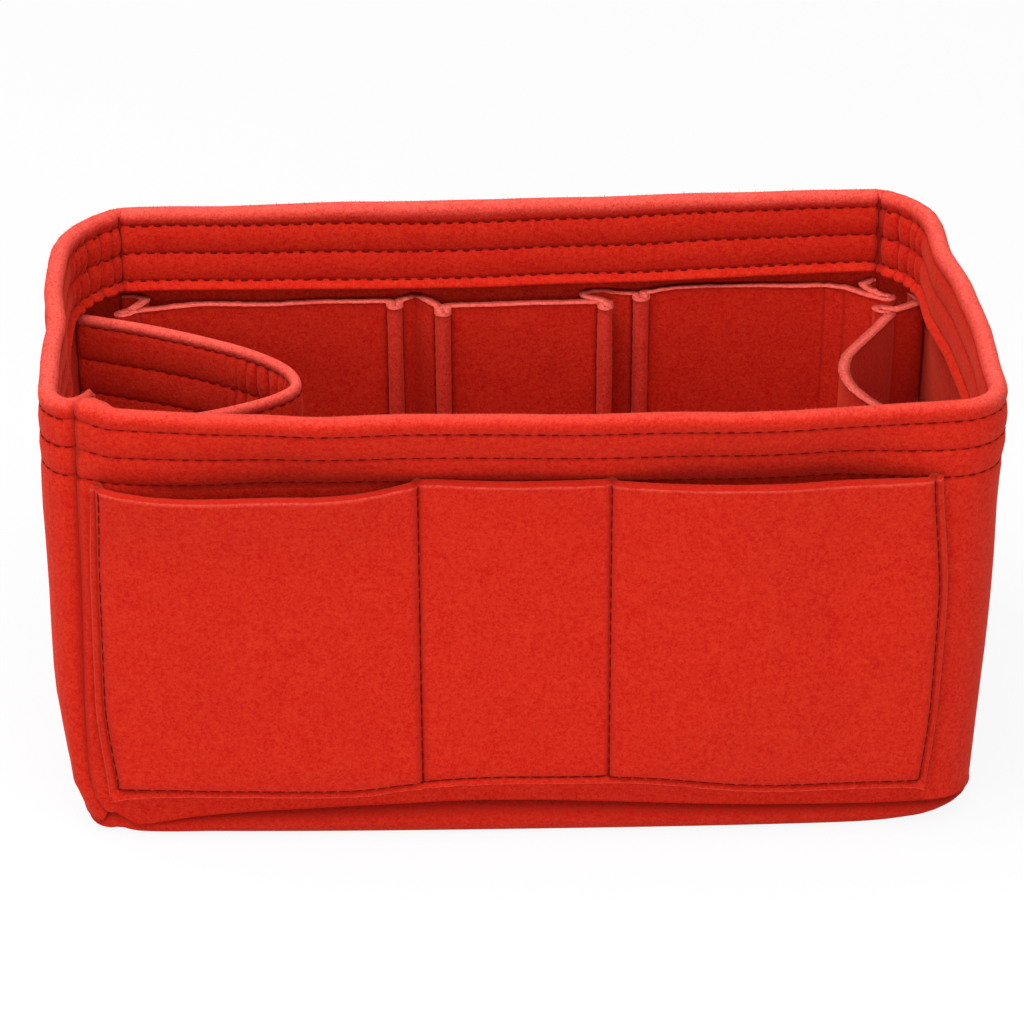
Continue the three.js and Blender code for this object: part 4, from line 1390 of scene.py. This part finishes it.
def on_end_wall(line, y, inset):
    """The point at a given Y beside an end wall whose line runs from back to front."""
    beside = line.beside(line.along, np.full(line.along.shape, inset))
    k = int(np.argmax(beside[:, 1] < y))
    share = (beside[k - 1, 1] - y) / (beside[k - 1, 1] - beside[k, 1])
    return lerp(beside[k - 1], beside[k], share)


class ORGANIZER_OT_right_pocket(PieceOperator, bpy.types.Operator):
    """Bowed pocket at the right end, between two edge-stitched folds"""
    bl_idname = "organizer.right_pocket"
    bl_label = "Right pocket"

    FOLD_LENGTH = 6
    FOLD_TURN = 30  # angle of a fold from the box's length
    GUSSET_BACK = 7  # how far the strip spreads from a fold to the wall
    GUSSET_FRONT = 6

    def make(self, context):
        plan = Plan()
        wall = PlanLine(plan.front_and_right.points[::-1])
        inset = -size("felt", "thickness") - seat_depth()
        back = plan.back - size("strip", "right_back")
        front = plan.front + size("strip", "right_front")
        corner = plan.right - size("strip", "right_stand")
        bend, tab = size("strip", "bend"), size("strip", "end_tab")
        folds = [(corner, back, 180 - self.FOLD_TURN, self.FOLD_LENGTH),
                 (corner, front, 180 + self.FOLD_TURN, self.FOLD_LENGTH)]
        behind, ahead = back + self.GUSSET_BACK, front - self.GUSSET_FRONT
        strip = StandingStrip(plan, [
            tuple(on_end_wall(wall, behind + tab, inset)),
            (*on_end_wall(wall, behind, inset), bend),
            *fold_corners(*folds[0]),
            (plan.right - size("strip", "right_reach"), (back + front) / 2, size("strip", "right_radius")),
            *fold_corners(*folds[1]),
            (*on_end_wall(wall, ahead, inset), bend),
            tuple(on_end_wall(wall, ahead - tab, inset)),
        ], folds)
        obj, stitches = strip.sewn("right_pocket")
        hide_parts("right_pocket_strip")


class ORGANIZER_OT_bottle_loop(PieceOperator, bpy.types.Operator):
    """Hemmed band that runs out from the left wall and back, for a bottle"""
    bl_idname = "organizer.bottle_loop"
    bl_label = "Bottle loop"

    TIP_SHARE = 0.4  # place of the tip between the loop's ends
    POINTS = 161  # of its line
    CROWDED = (0.45, 26, 34)  # share of the line, length past it and half length of the run of wrinkles
    PUCKER = (0.8, 19)  # most share of wrinkles, and its reach
    FLAT = 0.66  # share of the felt's thickness
    ROWS = (3.6, 12.3)  # first row from the rim, pitch
    DEPTH = 42  # of the hem
    PITCH = 1.1  # of the wrinkles, in stitches

    def make(self, context):
        plan = Plan()
        inset = size("felt", "thickness") + size("felt", "sewn_gap")
        front = plan.front + size("strip", "loop_front")
        back = plan.back - size("strip", "loop_back")
        tip = np.array((plan.left + size("strip", "loop_reach"), lerp(front, back, self.TIP_SHARE)))
        points = []
        for along in np.linspace(-1, 1, self.POINTS):
            end = on_end_wall(plan.left_line, front if along < 0 else back, inset)
            points.append((lerp(tip[0], end[0], along ** 2), lerp(tip[1], end[1], abs(along))))
        line = PlanLine(points)
        share, past, half = self.CROWDED
        middle = line.length * share + past
        at = fine_columns(line.length, ends=False, crowded=((middle - half, middle + half),))
        most, reach = self.PUCKER
        top = plan.height - size("hem", "depth") - size("strip", "drop")
        sheet = HemmedSheet(plan, line, at, inset, top, pucker=most * bell(at - middle, reach),
                            flat=self.FLAT, rows=self.ROWS, depth=self.DEPTH, pitch=self.PITCH)
        obj = sheet.build("bottle_loop_felt")
        stitching = Stitching()
        sheet.stitch(stitching)
        stitches = stitching.finish("bottle_loop_stitches")
        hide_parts("left_bottle_loop")


class ORGANIZER_OT_fuzz(PieceOperator, bpy.types.Operator):
    """Loose fibres that stand out of the rims, the raw edges and the faces"""
    bl_idname = "organizer.fuzz"
    bl_label = "Loose fibres"

    RIM, EDGE, FACE = 1500, 5200, 1500  # fibres on each sheet's rim, and on all raw edges and faces
    RIM_DEPTH = 5  # faces this near the rim's height bear those of the rim
    LENGTH = (0.4, 1.2)
    RADIUS = 0.05
    ROOTED = 0.45  # share of its length by which a fibre's middle stands off
    SPREAD = 0.8  # weights of the face's direction and of a random one in a fibre's lean

    def grow(self, chance, mesh, polygons, count):
        """Fibres at random places of some faces, spread by their areas."""
        if not polygons:
            return
        for polygon in chance.choices(polygons, [p.area for p in polygons], k=count):
            corners = [mesh.vertices[k].co for k in polygon.vertices]
            share = [chance.random() + 0.05 for _ in corners]
            root = sum((c * s for c, s in zip(corners, share)), Vector()) / sum(share)
            lean = Vector([chance.uniform(-1, 1) for _ in range(3)])
            heading = (polygon.normal * self.SPREAD + lean * self.SPREAD).normalized()
            length = lerp(*self.LENGTH, chance.random() ** 2) * MM
            turn = Vector((0, 0, 1)).rotation_difference(heading).to_matrix().to_4x4()
            place = Matrix.Translation(root + heading * length * self.ROOTED) @ turn
            place = place @ Matrix.Diagonal((self.RADIUS * MM, self.RADIUS * MM, length, 1))
            add_copy(self.bm, self.one, place)

    def make(self, context):
        chance = random.Random(5)
        self.bm = bmesh.new()
        self.one = shape_mesh("fibre", bmesh.ops.create_cone, cap_ends=True, segments=3, radius1=1,
                              radius2=0.2, depth=1)
        context.view_layer.update()
        depsgraph = context.evaluated_depsgraph_get()
        rim = (size("box", "height") - self.RIM_DEPTH) * MM
        sheets = [obj for obj in context.scene.objects if obj.name.endswith("_felt")]
        for obj in sheets:
            mesh = bpy.data.meshes.new_from_object(obj.evaluated_get(depsgraph))
            edges = [p for p in mesh.polygons if p.material_index == 1]
            rims = [p for p in mesh.polygons if p.center.z > rim and p.normal.z > 0.2]
            self.grow(chance, mesh, rims, self.RIM)
            self.grow(chance, mesh, edges, self.EDGE // len(sheets))
            self.grow(chance, mesh, list(mesh.polygons), self.FACE // len(sheets))
            bpy.data.meshes.remove(mesh)
        bpy.data.meshes.remove(self.one)
        new_object("felt_fibres", self.bm, cut_edge_material())


class ORGANIZER_OT_stage(PieceOperator, bpy.types.Operator):
    """Pale floor, soft light and the camera"""
    bl_idname = "organizer.stage"
    bl_label = "Stage"

    FLOOR = 6  # half of the floor's width, in metres
    # name, place and height of each light, in metres
    LAMPS = (("key", (-0.28, -0.32, 1.5), 0.9), ("fill", (-0.25, -1.6, 0.78), 0.45))
    LAMP_WIDTH = 2
    LAMP_AIM = (0, 0, 0.08)
    CAMERA = (-79.86, -1699.61, 1001.7)  # its place and what it looks at, in the plan
    CAMERA_AIM = (-1.06, 1.69, 76.2)
    CAMERA_ROLL = 0.12  # degrees

    def make(self, context):
        stage = settings("stage")
        scene = context.scene
        scene.view_settings.view_transform = "Standard"
        mesh = shape_mesh("floor", bmesh.ops.create_grid, x_segments=1, y_segments=1, size=self.FLOOR)
        mesh.materials.append(floor_material())
        floor = bpy.data.objects.new("floor", mesh)
        scene.collection.objects.link(floor)
        scene.world = self.studio(stage.sky)
        for name, place, height in self.LAMPS:
            light = bpy.data.lights.new(name, "AREA")
            light.shape = "RECTANGLE"
            light.energy, light.size, light.size_y = getattr(stage, name + "_power"), self.LAMP_WIDTH, height
            lamp = bpy.data.objects.new(name, light)
            lamp.location = place
            lamp.rotation_euler = (Vector(self.LAMP_AIM) - lamp.location).to_track_quat("-Z", "Y").to_euler()
            scene.collection.objects.link(lamp)
        lens = bpy.data.cameras.new("camera")
        lens.lens, lens.sensor_width, lens.clip_end = stage.lens, 36, 20
        camera = bpy.data.objects.new("camera", lens)
        camera.location = in_frame(self.CAMERA)
        aim = Vector(in_frame(self.CAMERA_AIM)) - camera.location
        roll = Matrix.Rotation(math.radians(self.CAMERA_ROLL), 3, "Z")
        camera.rotation_euler = (aim.to_track_quat("-Z", "Y").to_matrix() @ roll).to_euler()
        scene.collection.objects.link(camera)
        scene.camera = camera

    @staticmethod
    def studio(sky):
        """A world that is seen as white and lights the part with a strength of its own."""
        world = bpy.data.worlds.new("studio")
        world.use_nodes = True
        tree = world.node_tree
        rays = node(tree, "LightPath", (-600, 200)).outputs
        seen = math_node(tree, "MAXIMUM", (-400, 200), rays["Is Camera Ray"], rays["Is Glossy Ray"])
        seen = math_node(tree, "MAXIMUM", (-200, 200), seen, rays["Is Transmission Ray"])
        strength = node(tree, "MapRange", (0, 200), Value=seen, To_Min=sky, To_Max=1)
        fill(tree, tree.nodes["Background"], Color=(1, 1, 1, 1), Strength=strength.outputs["Result"])
        return world


FLOOR_WHITE = 0.9  # share of white in the floor that the camera sees


def floor_material():
    """Pale floor that the camera sees as white, with the soft shadow that falls on it."""
    material = bpy.data.materials.new("pale_floor")
    material.use_nodes = True
    tree = material.node_tree
    shader = tree.nodes["Principled BSDF"]
    fill(tree, shader, Base_Color=(*settings("stage").floor_colour, 1), Roughness=1, Specular_IOR_Level=0)
    white = node(tree, "Emission", (0, -300), Color=(1, 1, 1, 1), Strength=1)
    seen = node(tree, "LightPath", (-200, 300)).outputs["Is Camera Ray"]
    share = math_node(tree, "MULTIPLY", (0, 300), seen, FLOOR_WHITE)
    mixed = node(tree, "MixShader", (250, 0))
    for socket, value in zip(mixed.inputs, (share, shader.outputs[0], white.outputs[0])):
        feed(tree, socket, value)
    fill(tree, tree.nodes["Material Output"], Surface=mixed.outputs[0])
    return material


class ORGANIZER_PT_pieces(bpy.types.Panel):
    """Pieces of the organizer"""
    bl_label = "Organizer"
    bl_idname = "ORGANIZER_PT_pieces"
    bl_space_type = "VIEW_3D"
    bl_region_type = "UI"
    bl_category = "Organizer"

    def draw(self, context):
        for operator in OPERATORS:
            self.layout.operator(operator.bl_idname)


GROUPS = {
    "felt": FeltSettings,
    "box": BoxSettings,
    "hem": HemSettings,
    "front": FrontPocketSettings,
    "strip": StripSettings,
    "stage": StageSettings,
}
OPERATORS = (
    ORGANIZER_OT_walls,
    ORGANIZER_OT_bottom,
    ORGANIZER_OT_front_pockets,
    ORGANIZER_OT_back_strip,
    ORGANIZER_OT_right_pocket,
    ORGANIZER_OT_bottle_loop,
    ORGANIZER_OT_fuzz,
    ORGANIZER_OT_stage,
)
CLASSES = (*GROUPS.values(), *OPERATORS, ORGANIZER_PT_pieces)


def register():
    for made in CLASSES:
        bpy.utils.register_class(made)
    for name, group in GROUPS.items():
        setattr(bpy.types.Scene, "organizer_" + name, PointerProperty(type=group))


def unregister():
    for name in GROUPS:
        delattr(bpy.types.Scene, "organizer_" + name)
    for made in reversed(CLASSES):
        bpy.utils.unregister_class(made)


def main():
    register()
    for operator in OPERATORS:
        getattr(bpy.ops.organizer, operator.bl_idname.partition(".")[2])()


if __name__ == "__main__":
    main()
